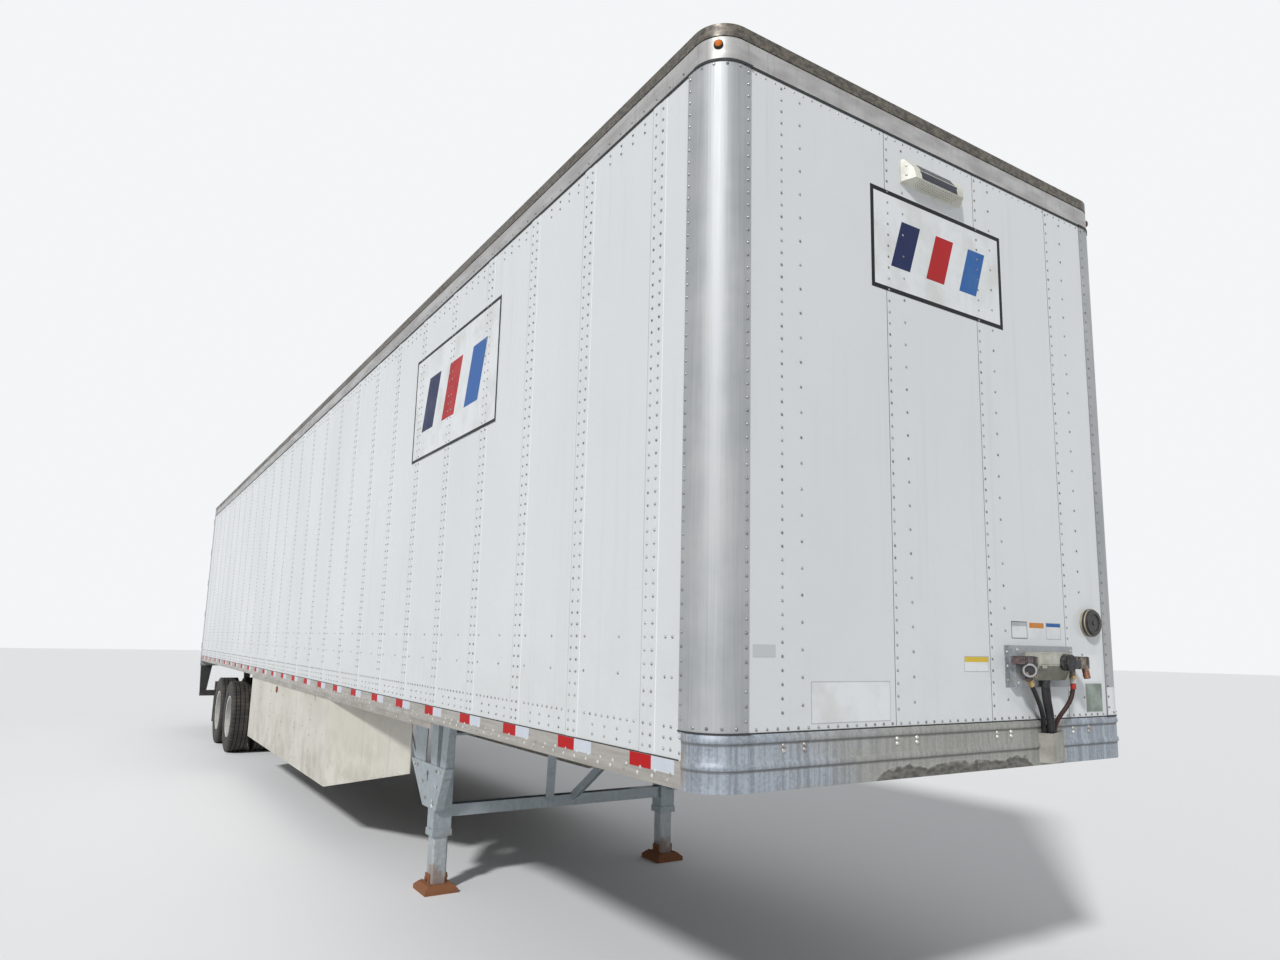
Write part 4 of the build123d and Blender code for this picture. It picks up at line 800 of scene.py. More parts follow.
# Front bumper: pressed galvanised steel that wraps the nose, stiffened by two rolls and bolted
# through beside each upright. The zinc is bluish towards both ends and grey between them, dark
# where water ran off, and carries painted shade along the foot of each roll.
spangle_group, given, out = shader_group(
    "Zinc spangle", (("Scale", "Float", 60.0), ("Contrast", "Float", 0.5)), (("Shade", "Float"),)
)
place = here(spangle_group)
crystals = put(spangle_group, "ShaderNodeTexVoronoi", Vector=place, Scale=given["Scale"])
grey = put(spangle_group, "ShaderNodeSeparateColor", Color=crystals.outputs["Color"]).outputs[0]
spangle_group.links.new(calc("ADD", 0.5, calc("MULTIPLY", calc("SUBTRACT", grey, 0.5), given["Contrast"])),
                        out["Shade"])

bumper_zinc, tree, shader = finish_of("Galvanised bumper", 0.44, 0.4)
spread = axes(here(tree))
spangle = use_group(tree, spangle_group, Scale=110.0, Contrast=0.4)["Shade"]
upright = noise(tree, (1, 1, 0.03), 45, 4, 0.7)
patches = noise(tree, (1, 1.2, 3), 2.6, 4)
mottle = calc("ADD", calc("MULTIPLY", spangle, 0.25), calc("MULTIPLY", upright, 0.75))
bluish = blend(fade(mottle, 0.36, 0.66), (0.235, 0.26, 0.295), (0.41, 0.455, 0.51))
greyish = blend(fade(mottle, 0.36, 0.62), (0.27, 0.27, 0.25), (0.37, 0.37, 0.345))
leftwards = fade(calc("ADD", spread[1], calc("MULTIPLY", patches, 0.9)), -0.75, 0.1)
rightwards = fade(calc("ADD", spread[1], calc("MULTIPLY", upright, 0.1)), 0.76, 0.84, 1.0, 0.0)
tint = blend(calc("MULTIPLY", leftwards, rightwards), bluish, greyish)
runs = rain(tree, 55.0, 1.4, 0.6)
tint = blend(runs, tint, (0.19, 0.19, 0.185))
over_rail = calc("SUBTRACT", spread[2], rail_bottom)
# Painted shade: a dark line along the foot of each roll, where the roll's shadow falls.
for roll_shade_height in (0.0725, 0.1625):
    distance = calc("ABSOLUTE", calc("SUBTRACT", over_rail, roll_shade_height))
    tint = blend(fade(distance, 0.002, 0.008, 0.62, 0.0), tint, (0.1, 0.098, 0.09))
ragged = noise(tree, (1, 1, 1.4), 11, 6, 0.62)
scrape = calc("ADD", over_rail, calc("MULTIPLY", ragged, -0.085))
beside = fade(spread[1], -0.6, -0.4, -0.09, 0.0)
scrape = calc("SUBTRACT", scrape, calc("ADD", beside, fade(spread[1], 0.45, 0.58, 0.0, -0.09)))
rim = calc("MULTIPLY", fade(scrape, 0.0, 0.002), fade(scrape, 0.003, 0.008, 1.0, 0.0))
tint = blend(calc("MULTIPLY", rim, 0.3), tint, (0.5, 0.49, 0.45))
smear = noise(tree, (1, 1, 2.5), 24, 5, 0.65)
tint = blend(fade(calc("ADD", scrape, calc("MULTIPLY", smear, 0.012)), -0.004, 0.008, 0.85, 0.0), tint,
             blend(fade(smear, 0.35, 0.65), (0.04, 0.038, 0.034), (0.17, 0.16, 0.14)))
ends = calc("MULTIPLY", fade(spread[0], nose - 0.15, nose - 0.12, 1.0, 0.0),
            fade(noise(tree, (2, 2, 1), 14, 3), 0.5, 0.62, 0.0, 0.35))
coat(shader, blend(ends, tint, (0.34, 0.2, 0.09)), fade(mottle, 0.3, 0.7, 0.5, 0.64))
relief(shader, patches, 0.004)

# The pressed section stands for the plain one: a roll under the top edge, a roll at mid height,
# and the shelf and upstand behind. The rolls are half as deep at the sides.
# columns: how far out, height over the rails' bottom
bumper_rolls = ((0.0, 0.0), (0.0, 0.0735), (0.001, 0.0745), (0.006, 0.079), (0.0072, 0.086),
                (0.0058, 0.094), (0.001, 0.1015), (0.0, 0.104), (0.0, 0.1635), (0.001, 0.1645),
                (0.0058, 0.169), (0.0072, 0.176), (0.0062, 0.184), (0.0025, 0.192), (0.0, 0.197))
shelf_reach = -0.030
bumper_back = ((shelf_reach - 0.006, 0.197), (shelf_reach - 0.006, 0.150), (shelf_reach, 0.150),
               (shelf_reach, 0.191), (-0.006, 0.191), (-0.006, 0.006), (-0.060, 0.006), (-0.060, 0.0))
outline_stations = [(nose - 0.163, 1.3, 90.0)]
outline_stations += [(corner_x, corner_y, 90.0 - 7.5 * i) for i in range(13)]


def skin(shape, rows):
    """Faces between neighbouring rows of corners; each row is a closed loop."""
    for one, other in zip(rows, rows[1:]):
        for i in range(len(one)):
            j = (i + 1) % len(one)
            if (one[i].co - other[i].co).length + (one[j].co - other[j].co).length > 1e-5:
                shape.faces.new((one[i], one[j], other[j], other[i]))


bumper_shape = bmesh.new()
rows = []
for side in (1, -1):
    for x, y, degrees in outline_stations[::side]:
        arm = corner_arm(degrees, side)
        corner = Vector((x, side * y, rail_bottom)) + (0.0 if x < corner_x else corner_radius) * arm
        depth = 0.48 + 0.52 * arm.x
        rows.append([bumper_shape.verts.new(corner + (out_by * depth if out_by > 0 else out_by) * arm
                                            + Vector((0, 0, z))) for out_by, z in bumper_rolls + bumper_back])
skin(bumper_shape, rows)
for row in (rows[0], rows[-1]):
    bumper_shape.faces.new(row)
rolled_bumper = piece("rolled_bumper", bumper_shape, [bumper_zinc], smooth=40)
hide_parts("front_bumper")

places = []
for y in (-0.968, -0.868, -0.378, -0.263, 0.253, 0.349, 0.824, 0.95):
    for height in (0.137, 0.155):
        places.append(((nose + 0.0015, y, rail_bottom + height), (1, 0, 0)))
rivets("bumper_fasteners", places, fastener_finish, radius=0.009, height=0.005, sides=10, crown=0.6)


# Marker lamps: small amber domes on dark feet at the two upper corners of the nose, and round
# amber side lamps in the skirts and at the rear ends of the rails.
def lens(name, colour, deep):
    """A moulded lens with fine ribs over its bulbs."""
    made, tree, shader = finish_of(name, 0.32, Specular_IOR_Level=0.3)
    place = here(tree)
    prisms = put(tree, "ShaderNodeTexWave", {"bands_direction": "Z"}, Vector=place, Scale=90.0).outputs[1]
    coat(shader, blend(fade(prisms, 0.2, 0.8), colour, deep))
    relief(shader, prisms, 0.0006)
    return made


amber_lens = lens("Amber lens", (0.75, 0.2, 0.012), (0.5, 0.1, 0.004))
red_lens = lens("Red lens", (0.5, 0.008, 0.006), (0.28, 0.004, 0.004))
dress(red_lens, "rear_lamps")
lamp_rubber = rubber("Lamp ring rubber", (0.016, 0.016, 0.017), (0.1, 0.095, 0.09), 0.3)


def aimed(shape, profile, start, direction, steps=24, closed=False, finish=0):
    """Adds a turned profile that points from a start along any direction."""
    made = turned(shape, profile, (0, 0, 0), "z", steps, closed, finish)
    turn_to = Vector(direction).to_track_quat("Z", "Y").to_matrix().to_4x4()
    bmesh.ops.transform(shape, matrix=Matrix.Translation(start) @ turn_to, verts=made)


def lamp_ring(shape, centre, outward, radius, depth):
    """Adds a rounded rubber ring round a lamp, standing on its surface."""
    profile = ((0, radius), (0, radius + 0.009), (0.6 * depth, radius + 0.0075), (depth, radius + 0.002),
               (depth, radius))
    aimed(shape, profile, centre, outward, 28, closed=True)


lamp_foot = ((0, 0), (0, 0.0195), (0.006, 0.0185), (0.0085, 0.016), (0.0085, 0))
lamp_dome = ((0.002, 0), (0.002, 0.0145), (0.0105, 0.0145), (0.014, 0.0115), (0.0157, 0.006), (0.016, 0))
side_lens = ((0, 0), (0, 0.026), (0.0045, 0.026), (0.006, 0.022), (0.0062, 0))
node_low, node_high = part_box("marker_lamps")
bend_x = nose - 5.510
skirt_lamp_x = bend_x - 0.589 * 4.290
lamps = bmesh.new()
for side in (-1, 1):
    arm = corner_arm(45, side)
    foot = Vector((corner_x, side * corner_y, header_bottom + 0.06)) + corner_radius * arm
    aimed(lamps, lamp_foot, foot, arm, 20, finish=1)
    aimed(lamps, lamp_dome, foot, arm, 20)
    for x, z in ((skirt_lamp_x, node_low.z + 0.026), (node_low.x + 0.026, rail_bottom + 0.048)):
        aimed(lamps, side_lens, (x, side * (node_high.y - 0.0062), z), (0, side, 0), 28)
marker_set = piece("marker_lamp_set", lamps, [amber_lens, lamp_rubber], smooth=40)
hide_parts("marker_lamps")


# Nose plate: a raised galvanised plate that carries the couplings, riveted through its flange,
# and the moulded box of the seven-way socket with its lid, hinge pin and cable glands.
plate_zinc, tree, shader = finish_of("Galvanised plate", 0.4, 0.5)
spangle = use_group(tree, spangle_group, Scale=70.0, Contrast=0.8)["Shade"]
tint = blend(spangle, (0.30, 0.325, 0.35), (0.42, 0.44, 0.455))
soil = dusted(tree, 1.2, 1.9, 9.0, 0.5)
coat(shader, blend(soil, tint, (0.2, 0.195, 0.18)), fade(spangle, 0.2, 0.8, 0.32, 0.5))
dress(plate_zinc, "nose_plate", "line_pocket")
plate_low, plate_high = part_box("nose_plate")
places = [((front_face + 0.005, plate_low.y + 0.015, plate_low.z + up), (1, 0, 0))
          for up in (0.03, 0.092, 0.154)]
places += [((plate_high.x + 0.001, y, z), (1, 0, 0)) for y in (plate_low.y + 0.045, plate_high.y - 0.02)
           for z in (plate_low.z + 0.02, plate_high.z - 0.02)]
rivets("nose_plate_rivets", places, fastener_finish, radius=0.007, height=0.0035)


def moulded(name, colour, aged, rough=0.42, soil_amount=0.45):
    """Weathered moulded plastic, yellowed and finely pitted."""
    made, tree, shader = finish_of(name, rough)
    age = noise(tree, (1, 1, 1), 7, 5, 0.6)
    tint = blend(fade(age, 0.35, 0.65), colour, aged)
    soil = dusted(tree, 0.9, 4.2, 16.0, soil_amount)
    runs = rain(tree, 80.0, 4.0, 0.35)
    tint = blend(soil, tint, tuple(0.55 * part for part in aged))
    coat(shader, blend(runs, tint, (0.12, 0.11, 0.09)), fade(age, 0.3, 0.7, rough - 0.08, rough + 0.12))
    relief(shader, noise(tree, (1, 1, 1), 300, 2), 0.0003)
    return made


box_plastic = moulded("Cream box", (0.52, 0.52, 0.46), (0.40, 0.39, 0.33))
dress(box_plastic, "connector_box")
box_low, box_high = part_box("connector_box")
# The box's lower slanted face is a darker olive copy of the cream plastic: painted shade.
box_underside_painted_shade = moulded("Cream box underside painted shade", (0.20, 0.20, 0.15), (0.14, 0.14, 0.11))
black_plastic_and_hole_shade = moulded("Black plastic and hole shade", (0.018, 0.018, 0.02), (0.035, 0.034, 0.033), 0.3, 0.2)
lid = bmesh.new()
block(lid, (box_high.x - 0.001, box_low.y + 0.008, box_low.z + 0.07),
      (box_high.x + 0.0025, box_high.y - 0.008, box_high.z - 0.006), 0.0012)
block(lid, (box_high.x - 0.006, box_low.y + 0.02, box_high.z - 0.007),
      (box_high.x + 0.004, box_high.y - 0.02, box_high.z - 0.001), 0.0012)
for y in (box_low.y + 0.02, box_high.y - 0.05):
    block(lid, (box_high.x - 0.002, y, box_low.z + 0.052),
          (box_high.x + 0.004, y + 0.03, box_low.z + 0.068), 0.0012)
piece("connector_box_lid", lid, [box_plastic])
shelf = 0.03
slope = bmesh.new()
prism(slope, ((plate_high.x + shelf - 0.004, box_low.z - 0.0002),
              (plate_high.x + shelf + 0.002, box_low.z - 0.0012), (box_high.x + 0.0012, box_low.z + 0.0615),
              (box_high.x - 0.002, box_low.z + 0.064)), "y", box_low.y + 0.004, box_high.y - 0.004)
prism(slope, ((plate_high.x - 0.001, box_low.z - 0.002), (plate_high.x + shelf - 0.004, box_low.z - 0.002),
              (plate_high.x + shelf - 0.004, box_low.z + 0.0005), (plate_high.x - 0.001, box_low.z + 0.0005)),
      "y", box_low.y, box_high.y)
piece("connector_box_underside", slope, [box_underside_painted_shade])

glands = bmesh.new()
for y in (0.543, 0.570):
    start = Vector((nose + 0.044, y, rail_bottom + 0.379))
    aimed(glands, ((0, 0), (0, 0.0155), (0.014, 0.0155), (0.016, 0.0135), (0.03, 0.0135), (0.034, 0.0124),
                   (0.034, 0)), start, (0, 0, -1), 16)
piece("cable_glands", glands, [black_plastic_and_hole_shade])


# Couplings: two cast air couplings on the nose plate. One is turned aside with a bare ring face, the
# other has a black dust cap; brass nuts hold their stems and crimped collars hold the hoses.
coupling_finish, tree, shader = finish_of("Cast couplings", 0.4, 0.25)
spread = axes(here(tree))
cast = noise(tree, (1, 1, 1), 45, 4)
mauve = blend(fade(cast, 0.35, 0.65), (0.19, 0.135, 0.135), (0.085, 0.062, 0.06))
tan = blend(fade(cast, 0.35, 0.65), (0.27, 0.215, 0.16), (0.13, 0.1, 0.078))
brick = blend(fade(cast, 0.35, 0.65), (0.28, 0.115, 0.065), (0.17, 0.075, 0.045))
on_right = fade(spread[1], 0.5, 0.501)
spout_part = calc("MULTIPLY", fade(spread[1], 0.755, 0.756),
                  fade(spread[2], rail_bottom + 0.422, rail_bottom + 0.424, 1.0, 0.0))
tint = blend(spout_part, blend(on_right, mauve, tan), brick)
on_cap = calc("MULTIPLY", on_right, fade(spread[1], 0.688, 0.689, 1.0, 0.0))
tint = blend(on_cap, tint, (0.014, 0.014, 0.016))
worn = noise(tree, (1, 1, 1), 110, 3)
coat(shader, blend(fade(worn, 0.6, 0.7), tint, (0.12, 0.1, 0.09)), fade(cast, 0.3, 0.7, 0.34, 0.52))
relief(shader, cast, 0.0012)
dress(coupling_finish, "air_couplings")

brass = worn_finish("Aged brass", 0.32, 0.85, (60, 4), (0.35, 0.65), (0.62, 0.45, 0.19), (0.32, 0.23, 0.11))
bright_ring, tree, shader = finish_of("Machined ring", 0.45, 0.7)
coat(shader, blend(noise(tree, (1, 1, 1), 50, 3), (0.42, 0.42, 0.425), (0.24, 0.24, 0.25)))
gloss_black, tree, shader = finish_of("Gloss black cap", 0.16)
worn = noise(tree, (1, 1, 1), 40, 4)
coat(shader, blend(fade(worn, 0.55, 0.7), (0.012, 0.012, 0.014), (0.07, 0.066, 0.06)),
     fade(worn, 0.4, 0.7, 0.12, 0.34))

coupling_x = nose + 0.081
body_height = rail_bottom + 0.465
face_point = Vector((front_face + 0.110, 0.355, rail_bottom + 0.422))
face_out = Vector((0.55, -0.83, 0)).normalized()
left_outlet = Vector((coupling_x, 0.388, rail_bottom + 0.372))
outlet_lean = Vector((-0.025, 0.098, -0.091)).normalized()
capped_outlet = Vector((coupling_x, 0.712, rail_bottom + 0.382))

bands = bmesh.new()
for y in (0.339, 0.398):
    block(bands, (plate_high.x - 0.001, y, body_height - 0.0185),
          (coupling_x + 0.0165, y + 0.019, body_height + 0.0185), 0.002)
for y in (0.716, 0.781):
    block(bands, (plate_high.x - 0.001, y, rail_bottom + 0.4285),
          (box_high.x + 0.0165, y + 0.016, rail_bottom + 0.4855), 0.002)
aimed(bands, ((-0.024, 0.0301), (-0.024, 0.0325), (-0.008, 0.0325), (-0.008, 0.0301)), face_point, face_out,
      32)
piece("coupling_bands", bands, [gloss_black])

ring_shape = bmesh.new()
aimed(ring_shape, ((-0.0085, 0.0212), (0.0008, 0.0212), (0.0022, 0.0232), (0.0022, 0.028), (0.0004, 0.0304),
                   (-0.0085, 0.0304)), face_point, face_out, 36)
aimed(ring_shape, ((-0.0085, 0.0), (-0.0085, 0.021)), face_point + 0.0008 * face_out, face_out, 36, finish=1)
aimed(ring_shape, ((-0.0085, 0.0085), (-0.0035, 0.0085), (-0.0035, 0.0)), face_point, face_out, 20, finish=1)
piece("coupling_ring", ring_shape, [bright_ring, black_plastic_and_hole_shade])

nuts = bmesh.new()
hexagon = ((0, 0), (0, 0.0165), (0.0015, 0.0175), (0.0125, 0.0175), (0.014, 0.0165), (0.014, 0))
for start, direction in ((left_outlet - 0.016 * outlet_lean, outlet_lean),
                         (capped_outlet + Vector((0, 0, 0.016)), Vector((0, 0, -1))),
                         (face_point - 0.046 * face_out + Vector((0, 0, 0.014)),
                          Vector((-0.15, 0.5, 0.6)).normalized())):
    aimed(nuts, hexagon, start, direction, 6)
for y, z, out_by in ((0.436, 0.404, 0.05), (0.4365, 0.442, 0.044)):
    aimed(nuts, ((0, 0), (0, 0.009), (out_by, 0.009), (out_by, 0)),
          Vector((plate_high.x, y, rail_bottom + z)), (1, 0, 0), 16)
    aimed(nuts, ((0, 0), (0, 0.0135), (0.012, 0.0135), (0.012, 0)),
          Vector((plate_high.x + out_by - 0.012, y, rail_bottom + z)), (1, 0, 0), 6)
piece("coupling_nuts", nuts, [brass])

cap_place = Vector((box_high.x, 0.626, rail_bottom + 0.457))
cap_reach = 0.038
cap = bmesh.new()
aimed(cap, ((0.0005, 0.0362), (0.003, 0.0372), (0.011, 0.0372), (0.013, 0.0362), (0.03, 0.0362),
            (cap_reach, 0.0328), (cap_reach - 0.0002, 0.024), (cap_reach - 0.003, 0.021),
            (cap_reach - 0.003, 0.0)), cap_place, (1, 0, 0), 48)
for across, up in round_places(0.034, 5):
    aimed(cap, ((0, 0.0), (0, 0.005), (0.016, 0.004), (0.016, 0.0)),
          cap_place + Vector((0.012, across, up)), (1, 0, 0), 8)
block(cap, (box_high.x - 0.001, 0.655, rail_bottom + 0.4355),
      (box_high.x + 0.0292, 0.717, rail_bottom + 0.4725), 0.003)
piece("coupling_cap", cap, [gloss_black])

collar_white = moulded("White hose collar", (0.62, 0.62, 0.6), (0.5, 0.49, 0.45))
collar_red = worn_finish("Red fitting", 0.34, 0.3, (55, 4), (0.45, 0.65), (0.42, 0.03, 0.02),
                         (0.16, 0.05, 0.04))
collars = bmesh.new()
sleeve = ((0, 0.0), (0, 0.0128), (0.004, 0.0136), (0.008, 0.0128), (0.012, 0.0136), (0.016, 0.0128),
          (0.022, 0.0128), (0.024, 0.0112), (0.024, 0.0))
aimed(collars, sleeve, left_outlet - 0.001 * outlet_lean, outlet_lean, 20)
piece("left_hose_collar", collars, [brass])
collars = bmesh.new()
aimed(collars, ((0, 0), (0, 0.0138), (0.018, 0.0138), (0.0195, 0.012), (0.0195, 0)),
      capped_outlet + Vector((0, 0, 0.001)), (0, 0, -1), 20)
aimed(collars, ((0.0195, 0), (0.0195, 0.0125), (0.042, 0.0125), (0.044, 0.0108), (0.044, 0)), capped_outlet,
      (0, 0, -1), 20, finish=1)
piece("right_hose_collar", collars, [collar_white, collar_red])


# Cover for the hanging lines: a folded sheet riveted to the bumper, open above, with a rolled lip.
cover_paint = moulded("Line cover", (0.40, 0.39, 0.345), (0.30, 0.29, 0.25))
dress(cover_paint, "line_pocket")
cover_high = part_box("line_pocket")[1]
fold = Vector((cover_high.x, 0.575))
lip = bmesh.new()
for start, end in ((Vector((nose, 0.5535)), fold), (fold, Vector((nose, 0.7475)))):
    along = (end - start).normalized()
    across = Vector((along.y, -along.x)) * 0.0016
    for low_part, high_part in ((-0.009, 0.001), (-0.128, -0.119)):
        outline = [start + across, end + across, end - across, start - across]
        rows = [[lip.verts.new((max(point.x, nose), point.y, cover_high.z + part)) for point in outline]
                for part in (low_part, high_part)]
        lip.faces.new(rows[0])
        lip.faces.new(rows[1])
        for i in range(4):
            lip.faces.new((rows[0][i], rows[0][(i + 1) % 4], rows[1][(i + 1) % 4], rows[1][i]))
piece("line_cover_lips", lip, [cover_paint])


# Document holder: a moulded round tube on the front wall with a strap round it and a black screw cap
# that has a recessed middle and four knobs for the hand.
tube_plastic, tree, shader = finish_of("Document tube", 0.45)
spread = axes(here(tree))
holder_low, holder_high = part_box("document_holder")
cap_start = holder_high.x - 0.01
age = noise(tree, (1, 1, 1), 18, 4)
tan = blend(fade(age, 0.35, 0.65), (0.42, 0.37, 0.28), (0.3, 0.26, 0.19))
dark = blend(fade(age, 0.35, 0.65), (0.02, 0.02, 0.021), (0.045, 0.042, 0.04))
coat(shader, blend(fade(spread[0], cap_start - 0.0005, cap_start + 0.0002), tan, dark))
relief(shader, noise(tree, (1, 1, 1), 260, 2), 0.0004)
dress(tube_plastic, "document_holder")
holder_middle = (holder_low + holder_high) / 2
strap = bmesh.new()
aimed(strap, ((0.013, 0.0655), (0.013, 0.0675), (0.023, 0.0675), (0.023, 0.0655)),
      Vector((front_face, holder_middle.y, holder_middle.z)), (1, 0, 0), 48)
cap_middle = Vector((cap_start, holder_middle.y, holder_middle.z))
for across, up in round_places(0.0495, 4, math.pi / 4):
    aimed(strap, ((0, 0), (0, 0.0085), (0.0098, 0.0072), (0.0098, 0)), cap_middle + Vector((0, across, up)),
          (1, 0, 0), 12)
aimed(strap, ((0.0045, 0), (0.0045, 0.012), (0.0095, 0.0105), (0.0095, 0)), cap_middle, (1, 0, 0), 16)
piece("document_holder_strap", strap, [black_plastic_and_hole_shade])


# Position sensor: a sealed moulded housing under the roof edge with a dark window over a solar cell,
# screwed through its two slanted ends, and small vent holes in its underside.
sensor_shell = moulded("Sensor housing", (0.64, 0.64, 0.56), (0.5, 0.49, 0.42))
dress(sensor_shell, "sensor_unit")
window_glass, tree, shader = finish_of("Solar window", 0.2, Specular_IOR_Level=0.25)
upright = put(tree, "ShaderNodeMapping", Vector=here(tree), Rotation=(math.pi / 2, 0, math.pi / 2)).outputs[0]
cells = put(tree, "ShaderNodeTexBrick", Vector=upright, Scale=24.0,
            Color1=(0.003, 0.005, 0.018, 1), Color2=(0.004, 0.007, 0.024, 1),
            Mortar=(0.02, 0.024, 0.04, 1))
cells.inputs["Mortar Size"].default_value = 0.012
coat(shader, cells.outputs[0])
sensor_low, sensor_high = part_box("sensor_unit")
face_x = sensor_high.x
window = bmesh.new()
prism(window, ((face_x - 0.0035, sensor_low.z + 0.0165), (face_x + 0.0004, sensor_low.z + 0.0165),
               (face_x - 0.0074, sensor_low.z + 0.0575), (face_x - 0.0115, sensor_low.z + 0.0575)), "y",
      -0.194, 0.046)
prism(window, ((face_x - 0.0125, sensor_low.z + 0.0635), (face_x - 0.0094, sensor_low.z + 0.0625),
               (face_x - 0.0369, sensor_high.z - 0.0035), (face_x - 0.0405, sensor_high.z - 0.0035)), "y",
      -0.19, 0.042)
piece("sensor_window", window, [window_glass])
frame_strip = bmesh.new()
for left, right in ((-0.2, -0.194), (0.046, 0.052)):
    outline = ((face_x - 0.004, sensor_low.z + 0.0148), (face_x - 0.0008, sensor_low.z + 0.0148),
               (face_x - 0.0076, sensor_low.z + 0.0592), (face_x - 0.012, sensor_low.z + 0.0592))
    prism(frame_strip, outline, "y", left, right)
piece("sensor_window_frame", frame_strip, [black_plastic_and_hole_shade])
# The vent holes are black dots: painted shade inside the holes.
places = [((front_face + 0.016 + 0.0115 * row, -0.2 + 0.0145 * i, sensor_low.z + 0.0042 + 0.0026 * row),
           (0.242, 0, -0.97)) for row in range(4) for i in range(19)]
rivets("sensor_vents", places, black_plastic_and_hole_shade, radius=0.0028, height=0.0006, crown=1.0)
places = [((front_face + 0.0295, y, sensor_low.z + part), (0.61, side * 0.79, 0))
          for side, y in ((-1, -0.2615), (1, 0.1135)) for part in (0.03, 0.075)]
rivets("sensor_screws", places, fastener_finish, radius=0.0055)


# Signs: one framed vinyl sign in the middle of the front wall and one on each side wall, with three
# plain slanted bars. The rivet heads under the film stand through it.
def film(name, colour, aged):
    """Printed vinyl film, chalked by the sun and finely crazed."""
    made, tree, shader = finish_of(name, 0.3, Specular_IOR_Level=0.2)
    chalk = noise(tree, (1, 1, 1), 6, 5, 0.6)
    tint = blend(fade(chalk, 0.4, 0.72), colour, aged)
    runs = rain(tree, 36.0, 0.8, 0.25)
    coat(shader, blend(runs, tint, tuple(0.6 * part for part in aged)), fade(chalk, 0.3, 0.7, 0.4, 0.56))
    relief(shader, noise(tree, (1, 1, 1), 90, 4), 0.0003)
    return made


film_white = film("White film", (0.7, 0.72, 0.73), (0.6, 0.61, 0.6))
film_black = film("Black film", (0.006, 0.007, 0.009), (0.02, 0.02, 0.022))
film_navy = film("Navy film", (0.008, 0.016, 0.07), (0.016, 0.026, 0.085))
film_red = film("Red film", (0.40, 0.010, 0.014), (0.33, 0.028, 0.028))
film_blue = film("Blue film", (0.02, 0.10, 0.34), (0.045, 0.135, 0.33))
sign_films = [film_white, film_black, film_navy, film_red, film_blue]
outline_width = 0.02
bar_edges = ((0.10, 0.34, 2), (0.38, 0.62, 3), (0.66, 0.90, 4))


def rectangle(left, right, low, high):
    return ((left, low), (right, low), (right, high), (left, high))


def bars_of(left, right, low, high, width):
    """The four bars of a frame, each as left, right, low and high."""
    return ((left, right, low, low + width), (left, right, high - width, high),
            (left, left + width, low + width, high - width),
            (right - width, right, low + width, high - width))


def sign(name, axis, faces, left, right, low, high):
    """A framed sign between two edges and two heights; each bar leans by a third of its height."""
    wall, front = faces
    shape = bmesh.new()

    def plate(outline, start, end, finish):
        prism(shape, outline, axis, start, end, finish)

    plate(rectangle(left, right, low, high), wall, front, 0)
    proud = front + math.copysign(0.0004, front)
    edge = outline_width
    for bar in bars_of(left, right, low, high, edge):
        plate(rectangle(*bar), front, proud, 1)
    width = right - left - 4 * edge
    bar_low = low + 0.26 * (high - low)
    bar_high = high - 0.26 * (high - low)
    lean = (bar_high - bar_low) / 3
    for start, end, finish in bar_edges:
        near = left + 2 * edge + start * width
        far = left + 2 * edge + end * width - lean
        plate([(near, bar_low), (far, bar_low), (far + lean, bar_high), (near + lean, bar_high)], front,
              proud, finish)
    piece(name, shape, sign_films)


front_sign = (-0.465, 0.429, rail_bottom + 2.020, rail_bottom + 2.487)
side_sign = (nose - 3.571, nose - 2.044, rail_bottom + 1.721, rail_bottom + 2.473)
sheet_face = front_face + 0.0012
sign("front_sign", "x", (sheet_face, sheet_face + 0.0008), *front_sign)
lapped_face = wall_face + 2 * lap_step
for side, word in ((1, "left"), (-1, "right")):
    sign(word + "_side_sign", "y", (side * wall_face, side * (lapped_face + 0.0006)), *side_sign)


# Small decals low on the front wall: blank films, some with a plain coloured band, a metal plate with
# four rivets, and a film that wraps the left corner post.
data_metal = worn_finish("Etched metal plate", 0.36, 0.6, (16, 4), (0.35, 0.65), (0.30, 0.35, 0.31),
                         (0.2, 0.23, 0.2))
film_grey = film("Grey film", (0.42, 0.44, 0.455), (0.36, 0.37, 0.37))
film_faint = film("Film residue", (0.5, 0.515, 0.52), (0.56, 0.57, 0.57))
film_orange = film("Orange film", (0.58, 0.2, 0.03), (0.5, 0.25, 0.1))
film_yellow = film("Yellow film", (0.62, 0.45, 0.05), (0.55, 0.42, 0.14))
decal_films = [film_white, film_black, film_grey, film_faint, film_orange, film_yellow, film_blue, data_metal]
